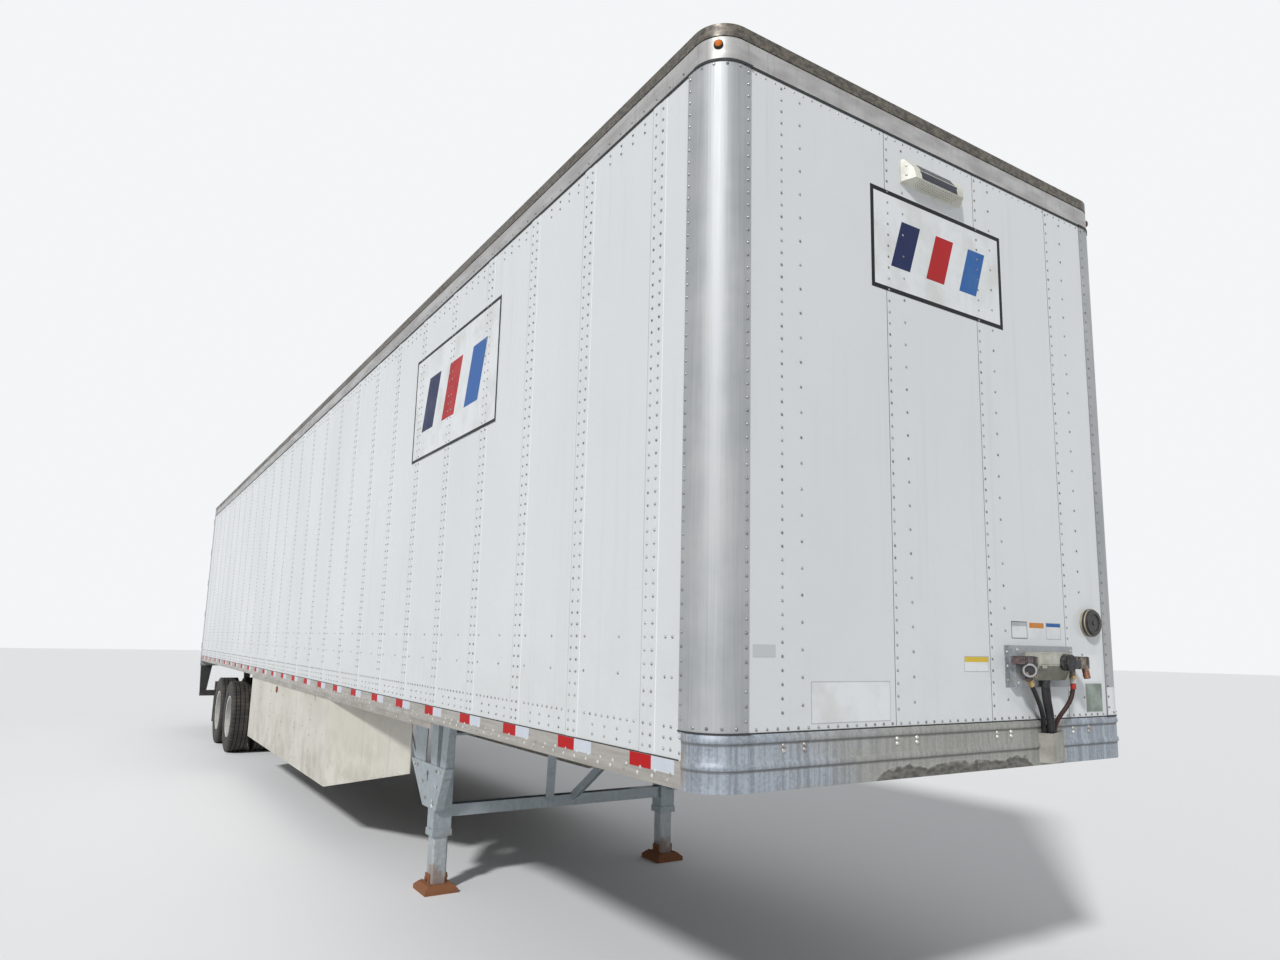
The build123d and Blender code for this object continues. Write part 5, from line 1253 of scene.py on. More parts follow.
# columns: left, right, bottom, top, edge film, field film, band film, band height
decals = (
    (-0.828, -0.405, 0.223, 0.377, 2, 0, None, 0),
    (-1.107, -1.000, 0.463, 0.509, 3, 3, None, 0),
    (0.394, 0.510, 0.561, 0.638, 1, 0, 2, 0.018),
    (0.524, 0.641, 0.561, 0.638, 0, 0, 4, 0.024),
    (0.656, 0.773, 0.561, 0.638, 2, 0, 6, 0.016),
    (0.056, 0.222, 0.412, 0.479, 2, 0, 5, 0.022),
    (0.940, 1.098, 0.366, 0.493, 0, 0, None, 0),
    (0.953, 1.093, 0.222, 0.358, 2, 7, None, 0),
)
decal_rim = 0.003
shape = bmesh.new()
for left, right, low, high, edge_film, field_film, band_film, band_height in decals:
    z0 = rail_bottom + low
    z1 = rail_bottom + high
    prism(shape, rectangle(left, right, z0, z1), "x", sheet_face, sheet_face + 0.0004, edge_film)
    inside = (left + decal_rim, right - decal_rim)
    top = z1 - decal_rim
    corners = rectangle(*inside, z0 + decal_rim, top)
    prism(shape, corners, "x", sheet_face + 0.0004, sheet_face + 0.0007, field_film)
    if band_film is not None:
        band = rectangle(*inside, top - band_height, top)
        prism(shape, band, "x", sheet_face + 0.0007, sheet_face + 0.001, band_film)
piece("front_decals", shape, decal_films)
plate_rivets = [((sheet_face + 0.0015, y, rail_bottom + z), (1, 0, 0))
                for y in (0.961, 1.085) for z in (0.23, 0.35)]
rivets("data_plate_rivets", plate_rivets, post_rivet_finish, radius=0.003, height=0.0016)

wrap = bmesh.new()
rows = []
for radius in (0.1402, 0.1406):
    row = [(corner_x + radius, 1.13)]
    for i in range(7):
        turn_angle = math.radians(7 * i)
        row.append((corner_x + radius * math.cos(turn_angle), corner_y + radius * math.sin(turn_angle)))
    rows.append(row)
prism(wrap, rows[0] + rows[1][::-1], "z", rail_bottom + 0.205, rail_bottom + 0.338)
piece("corner_post_film", wrap, [film_white])


# Side skirts: flat composite panels, riveted to the skirt rails and to their struts, with a joint
# strip over each seam. The bottom edge is scuffed and splashed.
skirt_sheet, tree, shader = finish_of("Skirt panel", 0.42)
clouds = noise(tree, (0.5, 1, 1), 2.2, 4)
# The skirts are white panels; this cream-grey tint is painted reflection of the sunlit gravel and painted
# shade.
tint = blend(fade(clouds, 0.3, 0.7), (0.60, 0.58, 0.51), (0.53, 0.505, 0.44))
splash = dusted(tree, 0.4, 1.0, 6.0, 0.55)
tint = blend(splash, tint, (0.3, 0.265, 0.21))
runs = rain(tree, 24.0, 0.9, 0.4)
tint = blend(runs, tint, (0.34, 0.31, 0.26))
spread = axes(here(tree))
rust_spot = calc("MULTIPLY", fade(noise(tree, (1, 1, 0.5), 9, 4), 0.66, 0.72), fade(spread[2], 1.06, 1.15))
coat(shader, blend(rust_spot, tint, (0.28, 0.13, 0.05)), fade(clouds, 0.3, 0.7, 0.36, 0.52))
relief(shader, noise(tree, (0.6, 0.6, 1), 3, 2), 0.006)
dress(skirt_sheet, "skirts")

skirt_low, skirt_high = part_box("skirts")
skirt_face = skirt_high.y
strip_shape = bmesh.new()
skirt_dots = []
rail_bolts = []
seam_count = 6
for side in (-1, 1):
    for i in range(1, seam_count):
        x = bend_x - i * (bend_x - skirt_low.x) / seam_count
        block(strip_shape, (x - 0.022, side * (skirt_face - 0.0005), skirt_low.z + 0.004),
              (x + 0.022, side * (skirt_face + 0.002), skirt_high.z - 0.036), 0.0008)
        for z in upright_run(skirt_low.z + 0.01, skirt_high.z - 0.05, 0.12):
            for across in (-0.012, 0.012):
                skirt_dots.append(((x + across, side * (skirt_face + 0.0025), z), (0, side, 0)))
    for setback in (5.700, 6.310, 6.920, 7.530, 8.140, 8.750, 9.360):
        for gap in (0, -0.229):
            skirt_dots.append(((nose - setback + gap, side * (skirt_face + 0.0008), rail_bottom - 0.35),
                               (0, side, 0)))
    for i in range(22):
        x = skirt_low.x + 0.08 + i * 0.31
        rail_bolts.append(((x, side * 1.2972, rail_bottom - 0.02), (0, side, 0)))
piece("skirt_joint_strips", strip_shape, [skirt_sheet])
rivets("skirt_rivets", skirt_dots, rivet_finish, height=0.0024, sides=7)
hex_bolts("skirt_rail_bolts", rail_bolts, 0.008, 0.004)
rear_lamp_x = tail + 0.174
side_rings = bmesh.new()
for side in (-1, 1):
    lamp_ring(side_rings, (skirt_lamp_x, side * skirt_face, rail_bottom - 0.09), (0, side, 0), 0.0262, 0.011)
    lamp_ring(side_rings, (rear_lamp_x, side * 1.3, rail_bottom + 0.048), (0, side, 0), 0.0262, 0.0036)
piece("side_lamp_rings", side_rings, [lamp_rubber])


# Landing gear: two telescopic legs of galvanised steel with their brackets and braces bolted under
# the frame. The zinc is mottled, and road salt has rusted the feet and the lower edges.
rust_group, given, out = shader_group("Rust", (("Scale", "Float", 7.0), ("Bottom", "Float", 0.0),
                                               ("Top", "Float", 0.5), ("Amount", "Float", 0.6)),
                                      (("Mask", "Float"), ("Height", "Float")))
place = here(rust_group)
height = axes(place)[2]
blotch_noise = put(rust_group, "ShaderNodeTexNoise", Vector=place, Scale=given["Scale"], Detail=7.0,
            Roughness=0.66).outputs[0]
lower = fade(height, given["Bottom"], given["Top"], 0.34, 0.0)
spots = fade(calc("ADD", blotch_noise, lower), 0.6, 0.74)
rust_group.links.new(calc("MULTIPLY", spots, given["Amount"]), out["Mask"])
rust_group.links.new(calc("MULTIPLY", blotch_noise, spots), out["Height"])


def steel(name, bright, dull, rust, top=0.5, amount=0.8, metallic=0.45, rough=0.45, grain=38.0):
    """Mottled galvanised or painted steel that rusts from its lower edge upwards."""
    made, tree, shader = finish_of(name, rough, metallic)
    shade = use_group(tree, spangle_group, Scale=grain, Contrast=0.75)["Shade"]
    patches = noise(tree, (1, 1, 0.6), 4, 4)
    tint = blend(calc("MULTIPLY", calc("ADD", shade, patches), 0.5), dull, bright)
    rusted = use_group(tree, rust_group, Scale=7.0, Bottom=0.0, Top=top, Amount=amount)
    runs = rain(tree, 50.0, 2.0, 0.5)
    tint = blend(runs, tint, tuple(0.45 * part for part in dull))
    coat(shader, blend(rusted["Mask"], tint, rust), calc("ADD", rough, calc("MULTIPLY", rusted["Mask"], 0.4)))
    tree.links.new(calc("SUBTRACT", metallic, calc("MULTIPLY", rusted["Mask"], metallic)),
                   shader.inputs["Metallic"])
    relief(shader, rusted["Height"], 0.002)
    return made


leg_zinc = steel("Leg zinc", (0.43, 0.485, 0.52), (0.27, 0.31, 0.33), (0.22, 0.12, 0.07), top=0.55,
                 amount=0.6)
inner_zinc = steel("Inner leg zinc", (0.52, 0.565, 0.59), (0.32, 0.35, 0.365), (0.22, 0.12, 0.07), top=0.25,
                   amount=0.6)
shoe_rust = steel("Rusted shoe", (0.25, 0.125, 0.068), (0.13, 0.068, 0.04), (0.25, 0.1, 0.042),
                  metallic=0.05, rough=0.75, grain=90.0)
dress(leg_zinc, "landing_legs", "leg_brackets", "leg_cross_brace", "leg_crank_shaft")
dress(inner_zinc, "inner_legs")
dress(shoe_rust, "leg_shoes")

leg_x = nose - 3.606
leg_y = 0.930
leg_out = 0.993
bolts = []
slots = bmesh.new()
trims = bmesh.new()
for side in (-1, 1):
    face = side * (leg_out + 0.008)
    for setback, z in ((3.45, 0.80), (3.52, 0.80), (3.92, 0.80), (3.99, 0.80), (3.56, 0.60), (3.72, 0.60),
                       (3.50, 0.70), (3.80, 0.70)):
        bolts.append(((nose - setback, face + side * 0.003, z), (0, side, 0)))
    for setback in (3.35, 3.40, 3.80, 3.88, 3.96, 4.02):
        bolts.append(((nose - setback, side * (leg_out + 0.003), 1.165), (0, side, 0)))
    for i in range(12):
        bolts.append(((nose - 3.2 - i * 0.11, side * 0.968, 1.1905), (0, 0, -1)))
    low_y, high_y = sorted((face - side * 0.001, face + side * 0.0006))
    middle = Vector((nose - 3.70, face, 0.765))
    disc(slots, -0.001, 0.0006, 0.019, middle, "y", 24)
    block(slots, (middle.x - 0.009, low_y, middle.z - 0.052), (middle.x + 0.009, high_y, middle.z - 0.012))
    disc(slots, -0.001, 0.0006, 0.008, Vector((nose - 3.55, face, 0.575)), "y", 16)
    block(trims, (nose - 3.60, low_y, 0.552), (nose - 3.565, high_y + 0.0008, 0.572), 0.0006)
# The slots and holes in the bracket faces are flat black pieces: painted shade inside the openings.
piece("leg_bracket_slots", slots, [black_plastic_and_hole_shade])
piece("leg_bracket_tabs", trims, [film_white])
hex_bolts("leg_bolts", bolts, 0.011, 0.007, crown=0.95)

# The legs' collars are rolled over at both edges; foot pins and the crank's grip finish the gear.
collar_bend = 0.016
rolls = bmesh.new()
for side in (-1, 1):
    for z, depth, half in ((0.403, 0.008, 0.0715), (0.365, 0.009, 0.0705)):
        outline = []
        reach = half - collar_bend
        middle_y = side * leg_y
        for ahead, across, first_turn in ((1, 1, 0), (-1, 1, 1), (-1, -1, 2), (1, -1, 3)):
            for i in range(4):
                turn_angle = math.pi / 2 * (first_turn + i / 3)
                outline.append((leg_x + ahead * reach + collar_bend * math.cos(turn_angle),
                                middle_y + across * reach + collar_bend * math.sin(turn_angle)))
        inner = [(leg_x + (x - leg_x) * 0.86, middle_y + (y - middle_y) * 0.86) for x, y in outline]
        for i in range(len(outline)):
            j = (i + 1) % len(outline)
            quad = (outline[i], outline[j], inner[j], inner[i])
            prism(rolls, quad, "z", z, z + depth)
piece("leg_collar_rolls", rolls, [leg_zinc])
pins = bmesh.new()
for side in (-1, 1):
    turned(pins, ((-0.078, 0.0), (-0.078, 0.014), (-0.065, 0.014), (-0.065, 0.009), (0.065, 0.009),
                  (0.065, 0.014), (0.078, 0.014), (0.078, 0.0)), (leg_x, side * leg_y, 0.086), "y", 12)
piece("leg_foot_pins", pins, [shoe_rust])
shoe_ribs = bmesh.new()
for side in (-1, 1):
    for across in (-0.07, 0.07):
        low_x = leg_x - 0.096
        block(shoe_ribs, (low_x, side * leg_y + across - 0.004, 0.03),
              (leg_x + 0.096, side * leg_y + across + 0.004, 0.062), 0.001)
piece("leg_shoe_ribs", shoe_ribs, [shoe_rust])
gear = bmesh.new()
crank_z = 1.040
block(gear, (leg_x - 0.085, leg_out - 0.001, crank_z - 0.1),
      (leg_x + 0.085, leg_out + 0.045, crank_z + 0.055), 0.012)
turned(gear, ((0.0, 0.0), (0.0, 0.032), (0.02, 0.03), (0.02, 0.0)),
       (leg_x, leg_out + 0.043, crank_z), "y", 24)
piece("leg_gear_case", gear, [leg_zinc])
gear_bolts = [((leg_x + x, leg_out + 0.047, crank_z + z), (0, 1, 0))
              for x in (-0.07, 0.07) for z in (-0.085, 0.04)]
hex_bolts("leg_gear_bolts", gear_bolts, 0.009, 0.006, crown=0.95)
grip = bmesh.new()
crank_y = leg_out + 0.19
aimed(grip, ((0.02, 0.0), (0.02, 0.0185), (0.028, 0.02), (0.11, 0.02), (0.118, 0.0185), (0.118, 0.0)),
      Vector((leg_x, crank_y, crank_z - 0.33)), (0, -1, 0), 16)
piece("crank_grip", grip, [lamp_rubber])


# Under-frame: I-beam crossmembers bolted up to the rails, coated black, with rust where stones have
# chipped the coating; the floor's underside is sealed with tar.
frame_coat = steel("Coated under-frame", (0.075, 0.074, 0.073), (0.035, 0.034, 0.034), (0.16, 0.075, 0.035),
                   top=1.6, amount=0.75, metallic=0.1, rough=0.55, grain=14.0)
dress(frame_coat, "crossmembers", "slide_rails", "bogie_frame", "suspension")
guard_coat = steel("Coated guard", (0.05, 0.05, 0.05), (0.025, 0.025, 0.026), (0.13, 0.062, 0.032), top=0.9,
                   amount=0.3, metallic=0.1, rough=0.5, grain=12.0)
dress(guard_coat, "rear_guard")

# The kingpin is forged steel, worn bright and greased, in a coupler plate that the tractor's plate
# has scraped in arcs round the pin.
plate_steel, tree, shader = finish_of("Scraped coupler plate", 0.5, 0.5)
place = here(tree)
pin_x = nose - 0.914
around = put(tree, "ShaderNodeMapping", Vector=place, Location=(-pin_x, 0, 0)).outputs[0]
arcs = put(tree, "ShaderNodeTexWave", {"wave_type": "RINGS", "rings_direction": "Z"}, Vector=around,
           Scale=14.0, Distortion=2.5, Detail=3.0).outputs[1]
scraped = calc("MULTIPLY", fade(arcs, 0.45, 0.8), fade(noise(tree, (1, 1, 1), 3, 4), 0.35, 0.6))
grease = fade(noise(tree, (1, 1, 1), 6, 5), 0.45, 0.6)
tint = blend(scraped, (0.09, 0.075, 0.065), (0.3, 0.29, 0.28))
coat(shader, blend(calc("MULTIPLY", grease, 0.8), tint, (0.025, 0.022, 0.02)),
     fade(grease, 0.0, 1.0, 0.5, 0.22))
relief(shader, arcs, 0.0006)
dress(plate_steel, "coupler_plate")
pin_steel, tree, shader = finish_of("Greased kingpin", 0.3, 0.85)
worn = noise(tree, (1, 1, 0.3), 30, 4)
coat(shader, blend(fade(worn, 0.4, 0.6), (0.38, 0.36, 0.34), (0.07, 0.06, 0.05)),
     fade(worn, 0.3, 0.7, 0.2, 0.42))
dress(pin_steel, "kingpin")
places = [((pin_x + ahead, across, rail_bottom - 0.001), (0, 0, -1)) for ahead,
          across in round_places(0.42, 20)]
rivets("coupler_plate_plugs", places, pin_steel, radius=0.014, height=0.002, sides=12, crown=0.8)

# Floor: oak boards laid lengthwise, shiplapped and screwed to each crossmember.
boards, tree, shader = finish_of("Floor boards", 0.55)
place = here(tree)
laid = put(tree, "ShaderNodeTexBrick", Vector=place, Scale=1.0, Color1=(0.27, 0.15, 0.075, 1),
           Color2=(0.17, 0.09, 0.045, 1), Mortar=(0.03, 0.02, 0.014, 1))
for title, number in (("Mortar Size", 0.0012), ("Brick Width", 1.35), ("Row Height", 0.0335), ("Bias", 0.1)):
    laid.inputs[title].default_value = number
grain = noise(tree, (1.2, 26, 1), 7, 5, 0.65)
height = axes(place)[2]
tint = blend(calc("MULTIPLY", grain, 0.6), laid.outputs[0], (0.1, 0.058, 0.032))
scuffs = fade(noise(tree, (0.5, 2.5, 1), 3.5, 6, 0.7), 0.52, 0.68)
tint = blend(calc("MULTIPLY", scuffs, 0.5), tint, (0.3, 0.25, 0.2))
floor_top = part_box("floor")[1].z
below = fade(height, floor_top - 0.003, floor_top - 0.002, 1.0, 0.0)
coat(shader, blend(below, tint, (0.022, 0.02, 0.019)))
relief(shader, calc("ADD", grain, laid.outputs[1]), 0.0015)
dress(boards, "floor")
floor_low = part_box("floor")[0]
places = [((floor_low.x + 0.3 + 0.305 * i, -1.14 + 0.228 * j, floor_top),
           (0, 0, 1)) for i in range(50) for j in range(11)]
rivets("floor_screws", places, fastener_finish, radius=0.0065, height=0.0012, crown=0.8)

# Inside: a galvanised slotted post behind every lap, a plywood-grey scuff liner between them along
# the floor, and white sheets above. The bows under the roof are galvanised.
inside_zinc = steel("Inside zinc", (0.5, 0.53, 0.55), (0.36, 0.38, 0.4), (0.2, 0.13, 0.08), top=0.3,
                    amount=0.2, grain=60.0)
dress(inside_zinc, "roof_bows")
wall_inside = 1.277
liner, tree, shader = finish_of("Scuff liner", 0.5)
scrapes = fade(noise(tree, (0.6, 1, 7), 6, 6, 0.7), 0.55, 0.66)
tint = blend(noise(tree, (1, 1, 1), 3, 4), (0.5, 0.51, 0.5), (0.42, 0.43, 0.42))
coat(shader, blend(scrapes, tint, (0.16, 0.15, 0.14)))
relief(shader, scrapes, 0.001)
posts = bmesh.new()
sheets = bmesh.new()
post_low = rail_bottom + 0.19
post_high = header_bottom + 0.04
for side in (-1, 1):
    for x in post_places:
        for start, end in ((-0.045, -0.016), (0.016, 0.045)):
            block(posts, (x + start, side * wall_inside, post_low),
                  (x + end, side * (wall_inside - 0.012), post_high), 0.001)
        for k in range(26):
            z = post_low + 0.02 + k * 0.1
            block(posts, (x - 0.017, side * wall_inside, z),
                  (x + 0.017, side * (wall_inside - 0.009), z + 0.055))
    for i in range(post_count - 1):
        block(sheets, (post_places[i + 1] + 0.047, side * wall_inside, post_low + 0.002),
              (post_places[i] - 0.047, side * (wall_inside - 0.004), post_low + 0.3), 0.0008)
piece("slotted_posts", posts, [inside_zinc])
piece("scuff_liners", sheets, [liner])


# Rear frame: a welded steel portal, galvanised, with white tape at its upper corners, small lamps
# over the doors, round lamps in the sill's pockets and a blank plate between them.
portal_zinc = steel("Rear frame zinc", (0.5, 0.52, 0.535), (0.36, 0.375, 0.385), (0.2, 0.11, 0.06), top=1.9,
                    amount=0.6, grain=30.0)
dress(portal_zinc, "rear_frame")
frame_rear = tail + 0.010
lamp_height = 1.246
lamp_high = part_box("rear_lamps")[1]
rear_rings = bmesh.new()
for side in (-1, 1):
    for y in (0.700, 0.850, 1.000):
        lamp_ring(rear_rings, (frame_rear, side * y, lamp_height), (-1, 0, 0), 0.0523, 0.008)
for y in (-1.180, -0.160, 0.0, 0.160, 1.180):
    lamp_ring(rear_rings, (frame_rear, y, lamp_high.z - 0.026), (-1, 0, 0), 0.0262, 0.010)
piece("rear_lamp_rings", rear_rings, [lamp_rubber])

tape_white_places = bmesh.new()
frame_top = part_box("roof")[0].z
for side in (-1, 1):
    block(tape_white_places, (frame_rear - 0.0006, side * 0.94, frame_top - 0.115),
          (frame_rear, side * 1.24, frame_top - 0.065))
    block(tape_white_places, (frame_rear - 0.0006, side * 1.249, frame_top - 0.42),
          (frame_rear, side * 1.296, frame_top - 0.12))
piece("corner_tape", tape_white_places, [white_tape])
plate_shape = bmesh.new()
block(plate_shape, (frame_rear - 0.003, -0.155, 1.17), (frame_rear, 0.155, 1.325), 0.001)
block(plate_shape, (frame_rear - 0.0042, -0.149, 1.176), (frame_rear - 0.003, 0.149, 1.319), 0.0004, finish=1)
for side in (-1, 1):
    block(plate_shape, (frame_rear - 0.03, side * 0.06, 1.3255),
          (frame_rear, side * 0.085, 1.335), 0.002, finish=2)
piece("blank_plate", plate_shape, [black_plastic_and_hole_shade, film_white, black_plastic_and_hole_shade])
sill_bolts = [((frame_rear - 0.001, side * y, z), (-1, 0, 0))
              for side in (-1, 1) for y in (0.25, 0.55, 1.19) for z in (1.14, 1.21)]
hex_bolts("rear_sill_bolts", sill_bolts, 0.01, 0.005)


def banded_tape(name, x, left, right, low, high, body="trailer"):
    """Red and white tape in 280 mm and 178 mm lengths across the rear."""
    start = left
    colour = 0
    shape = bmesh.new()
    while start < right - 0.02:
        length = (0.28, 0.178)[colour]
        block(shape, (x - 0.0006, start, low), (x, min(start + length, right), high), finish=colour)
        start += length
        colour = 1 - colour
    piece(name, shape, [red_tape, white_tape], body)


banded_tape("guard_tape", tail + 0.060, -1.22, 1.22, 0.574, 0.624)
banded_tape("sill_tape", frame_rear, -0.52, -0.18, 1.23, 1.28)
banded_tape("sill_tape_left", frame_rear, 0.18, 0.52, 1.23, 1.28)
frame_rivets = [((frame_rear - 0.001, side * 1.272, 1.45 + 0.12 * i), (-1, 0, 0))
                for side in (-1, 1) for i in range(18)]
rivets("rear_post_rivets", frame_rivets, rivet_finish)
dock_rubber = rubber("Dock bumper rubber", (0.02, 0.02, 0.021), (0.16, 0.15, 0.13), 0.5)
dress(dock_rubber, "dock_bumpers")
dock_low, dock_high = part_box("dock_bumpers")
dock_middle = (dock_low.z + dock_high.z) / 2
dock_bolts = [((dock_low.x - 0.0005, side * y, dock_middle), (-1, 0, 0))
              for side in (-1, 1) for y in (1.125, 1.215)]
rivets("dock_bumper_bolts", dock_bolts, fastener_finish, radius=0.014, height=0.004, sides=12, crown=0.8)


# Doors: two swing doors of sheet-faced plywood with aluminium edge mouldings riveted on, black seals
# and a band of marking tape. Each hangs on five straps and locks with two rods.
door_paint, tree, shader = finish_of("Door paint", 0.34)
clouds = noise(tree, (1, 0.8, 0.4), 1.9, 3)
tint = blend(fade(clouds, 0.3, 0.7), (0.64, 0.66, 0.668), (0.6, 0.62, 0.625))
runs = rain(tree, 30.0, 0.6, 0.4)
tint = blend(runs, tint, (0.42, 0.41, 0.38))
road_film = dusted(tree, 1.3, 3.0, 3.0, 0.5)
coat(shader, blend(road_film, tint, (0.42, 0.385, 0.33)), fade(clouds, 0.3, 0.7, 0.28, 0.44))
relief(shader, noise(tree, (1, 1, 0.6), 2.4, 2), 0.003)
dress(door_paint, "left_door", "right_door")
moulding, tree, shader = finish_of("Door moulding", 0.4, 0.6)
grain = use_group(tree, grain_group, Across=60.0, Along=60.0, Depth=1.0)
coat(shader, blend(fade(grain["Shade"], 0.3, 0.7), (0.5, 0.505, 0.51), (0.38, 0.38, 0.375)))
hardware_zinc = steel("Door hardware zinc", (0.5, 0.5, 0.47), (0.3, 0.3, 0.28), (0.24, 0.12, 0.055),
                      top=2.4, amount=0.7, metallic=0.7, rough=0.36, grain=80.0)
door_low, door_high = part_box("left_door")
edge = 0.042
hinge_heights = [door_low.z + 0.130 + i * (door_high.z - door_low.z - 0.260) / 4 for i in range(5)]
bearing_heights = [door_low.z + 0.130 + i * (door_high.z - door_low.z - 0.260) / 3 for i in range(4)]
for side, word in ((1, "left"), (-1, "right")):
    body = word + "_rear_door"
    dress(hardware_zinc, word + "_door_hardware")
    trim = bmesh.new()
    seal_and_gap_shape = bmesh.new()
    near = door_low.y
    far = door_high.y
    for a, b, c, d in bars_of(near, far, door_low.z, door_high.z, edge):
        block(trim, (tail - 0.0022, side * a, c), (tail + 0.0002, side * b, d), 0.0008)
        block(trim, (tail + 0.0378, side * a, c), (tail + 0.0395, side * b, d), 0.0006)
    lip = 0.009
    for a, b, c, d in bars_of(near, far, door_low.z, door_high.z, lip):
        block(seal_and_gap_shape, (tail - 0.0052, side * a, c), (tail - 0.0018, side * b, d), 0.0012)
    piece(word + "_door_mouldings", trim, [moulding], body)
    piece(word + "_door_seals", seal_and_gap_shape, [sealant_and_gap_shade], body)
    dots = []
    for z in upright_run(door_low.z + 0.05, door_high.z - 0.05, 0.1):
        for y in (near + 0.028, far - 0.028):
            dots.append(((tail - 0.0035, side * y, z), (-1, 0, 0)))
    for y in upright_run(near + 0.05, far - 0.05, 0.1):
        for z in (door_low.z + 0.028, door_high.z - 0.028):
            dots.append(((tail - 0.0035, side * y, z), (-1, 0, 0)))
    rivets(word + "_door_rivets", dots, rivet_finish, body, radius=0.0055, height=0.0026)
    low_y, high_y = sorted((side * (near + 0.05), side * (far - 0.05)))
    banded_tape(word + "_door_tape", tail, low_y, high_y, door_low.z + 0.07, door_low.z + 0.12, body)
    bolts = []
    bases = bmesh.new()
    for z in hinge_heights:
        for y in (1.062, 1.118, 1.186):
            bolts.append(((tail - 0.0095, side * y, z - 0.015), (-1, 0, 0)))
            bolts.append(((tail - 0.0095, side * y, z + 0.015), (-1, 0, 0)))
    for rod_y in (0.330, 0.930):
        for z in bearing_heights:
            block(bases, (tail - 0.0045, side * (rod_y - 0.056), z - 0.024),
                  (tail - 0.0003, side * (rod_y + 0.056), z + 0.024), 0.0012)
            for y in (rod_y - 0.044, rod_y + 0.044):
                bolts.append(((tail - 0.0065, side * y, z - 0.012), (-1, 0, 0)))
                bolts.append(((tail - 0.0065, side * y, z + 0.012), (-1, 0, 0)))
    piece(word + "_door_bearing_plates", bases, [hardware_zinc], body)
    hex_bolts(word + "_door_bolts", bolts, 0.0075, 0.0045, body, crown=0.85)


# Sliding bogie: air springs of rubber on steel pistons, brake chambers closed by clamp bands, an air
# tank in straps, cam shafts along the axles, and rubber flaps behind the tyres.
tail_axles = (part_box("left_front_wheel"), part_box("left_rear_wheel"))
axle_places = [(low.x + high.x) / 2 for low, high in tail_axles]
axle_height = 0.505
axle_coat = steel("Coated axle", (0.07, 0.068, 0.066), (0.035, 0.033, 0.032), (0.15, 0.072, 0.036), top=0.9,
                  metallic=0.1, rough=0.55, grain=12.0)
dress(axle_coat, "axles", "brake_chambers")
bright_zinc = steel("Pin zinc", (0.42, 0.42, 0.4), (0.24, 0.24, 0.23), (0.2, 0.1, 0.05), top=1.3,
                    amount=0.6, metallic=0.7)
dress(bright_zinc, "lock_pins", "skirt_struts")
tank_paint = steel("Tank paint", (0.05, 0.05, 0.052), (0.03, 0.03, 0.031), (0.15, 0.075, 0.04), top=1.2,
                   amount=0.5, metallic=0.1, rough=0.4, grain=10.0)
dress(tank_paint, "air_tank")

bellow_rubber = rubber("Air spring rubber", (0.016, 0.016, 0.017), (0.15, 0.135, 0.11), 0.6)
plate_top = 1.034
spring_back = 0.330
spring_y = 0.468
# columns: height above the ground, radius
piston = ((0.700, 0.0), (0.700, 0.072), (0.706, 0.0775), (0.765, 0.0775), (0.778, 0.072), (0.792, 0.070),
          (0.792, 0.0))
lobe = ((0.786, 0.071), (0.780, 0.085), (0.781, 0.100), (0.790, 0.115), (0.806, 0.1235), (0.84, 0.1248),
        (0.90, 0.1235), (0.96, 0.1235), (1.000, 0.121), (1.018, 0.114), (1.027, 0.104), (1.027, 0.071))
top_plate = ((plate_top - 0.0075, 0.0), (plate_top - 0.0075, 0.112), (plate_top, 0.112), (plate_top, 0.0))
springs = bmesh.new()
spring_bolts = []
for axle_x in axle_places:
    for side in (-1, 1):
        centre = (axle_x - spring_back, side * spring_y, 0)
        turned(springs, piston, centre, "z", 40)
        turned(springs, lobe, centre, "z", 48, closed=True, finish=1)
        turned(springs, top_plate, centre, "z", 40)
        for ring_height in (0.83, 1.004):
            turned(springs, ((ring_height, 0.1205), (ring_height + 0.002, 0.1249),
                             (ring_height + 0.007, 0.1249), (ring_height + 0.009, 0.1205)), centre, "z", 48,
                   closed=True, finish=1)
        block(springs, (centre[0] - 0.08, side * (spring_y - 0.04), plate_top),
              (centre[0] + 0.08, side * (spring_y + 0.04), plate_top + 0.028), 0.002)
        for x in (-0.06, 0.06):
            spring_bolts.append(((centre[0] + x, centre[1], plate_top - 0.0095), (0, 0, -1)))
bellows = piece("bellows", springs, [axle_coat, bellow_rubber], "bogie")
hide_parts("air_springs")
hex_bolts("bellow_bolts", spring_bolts, 0.009, 0.006, "bogie")

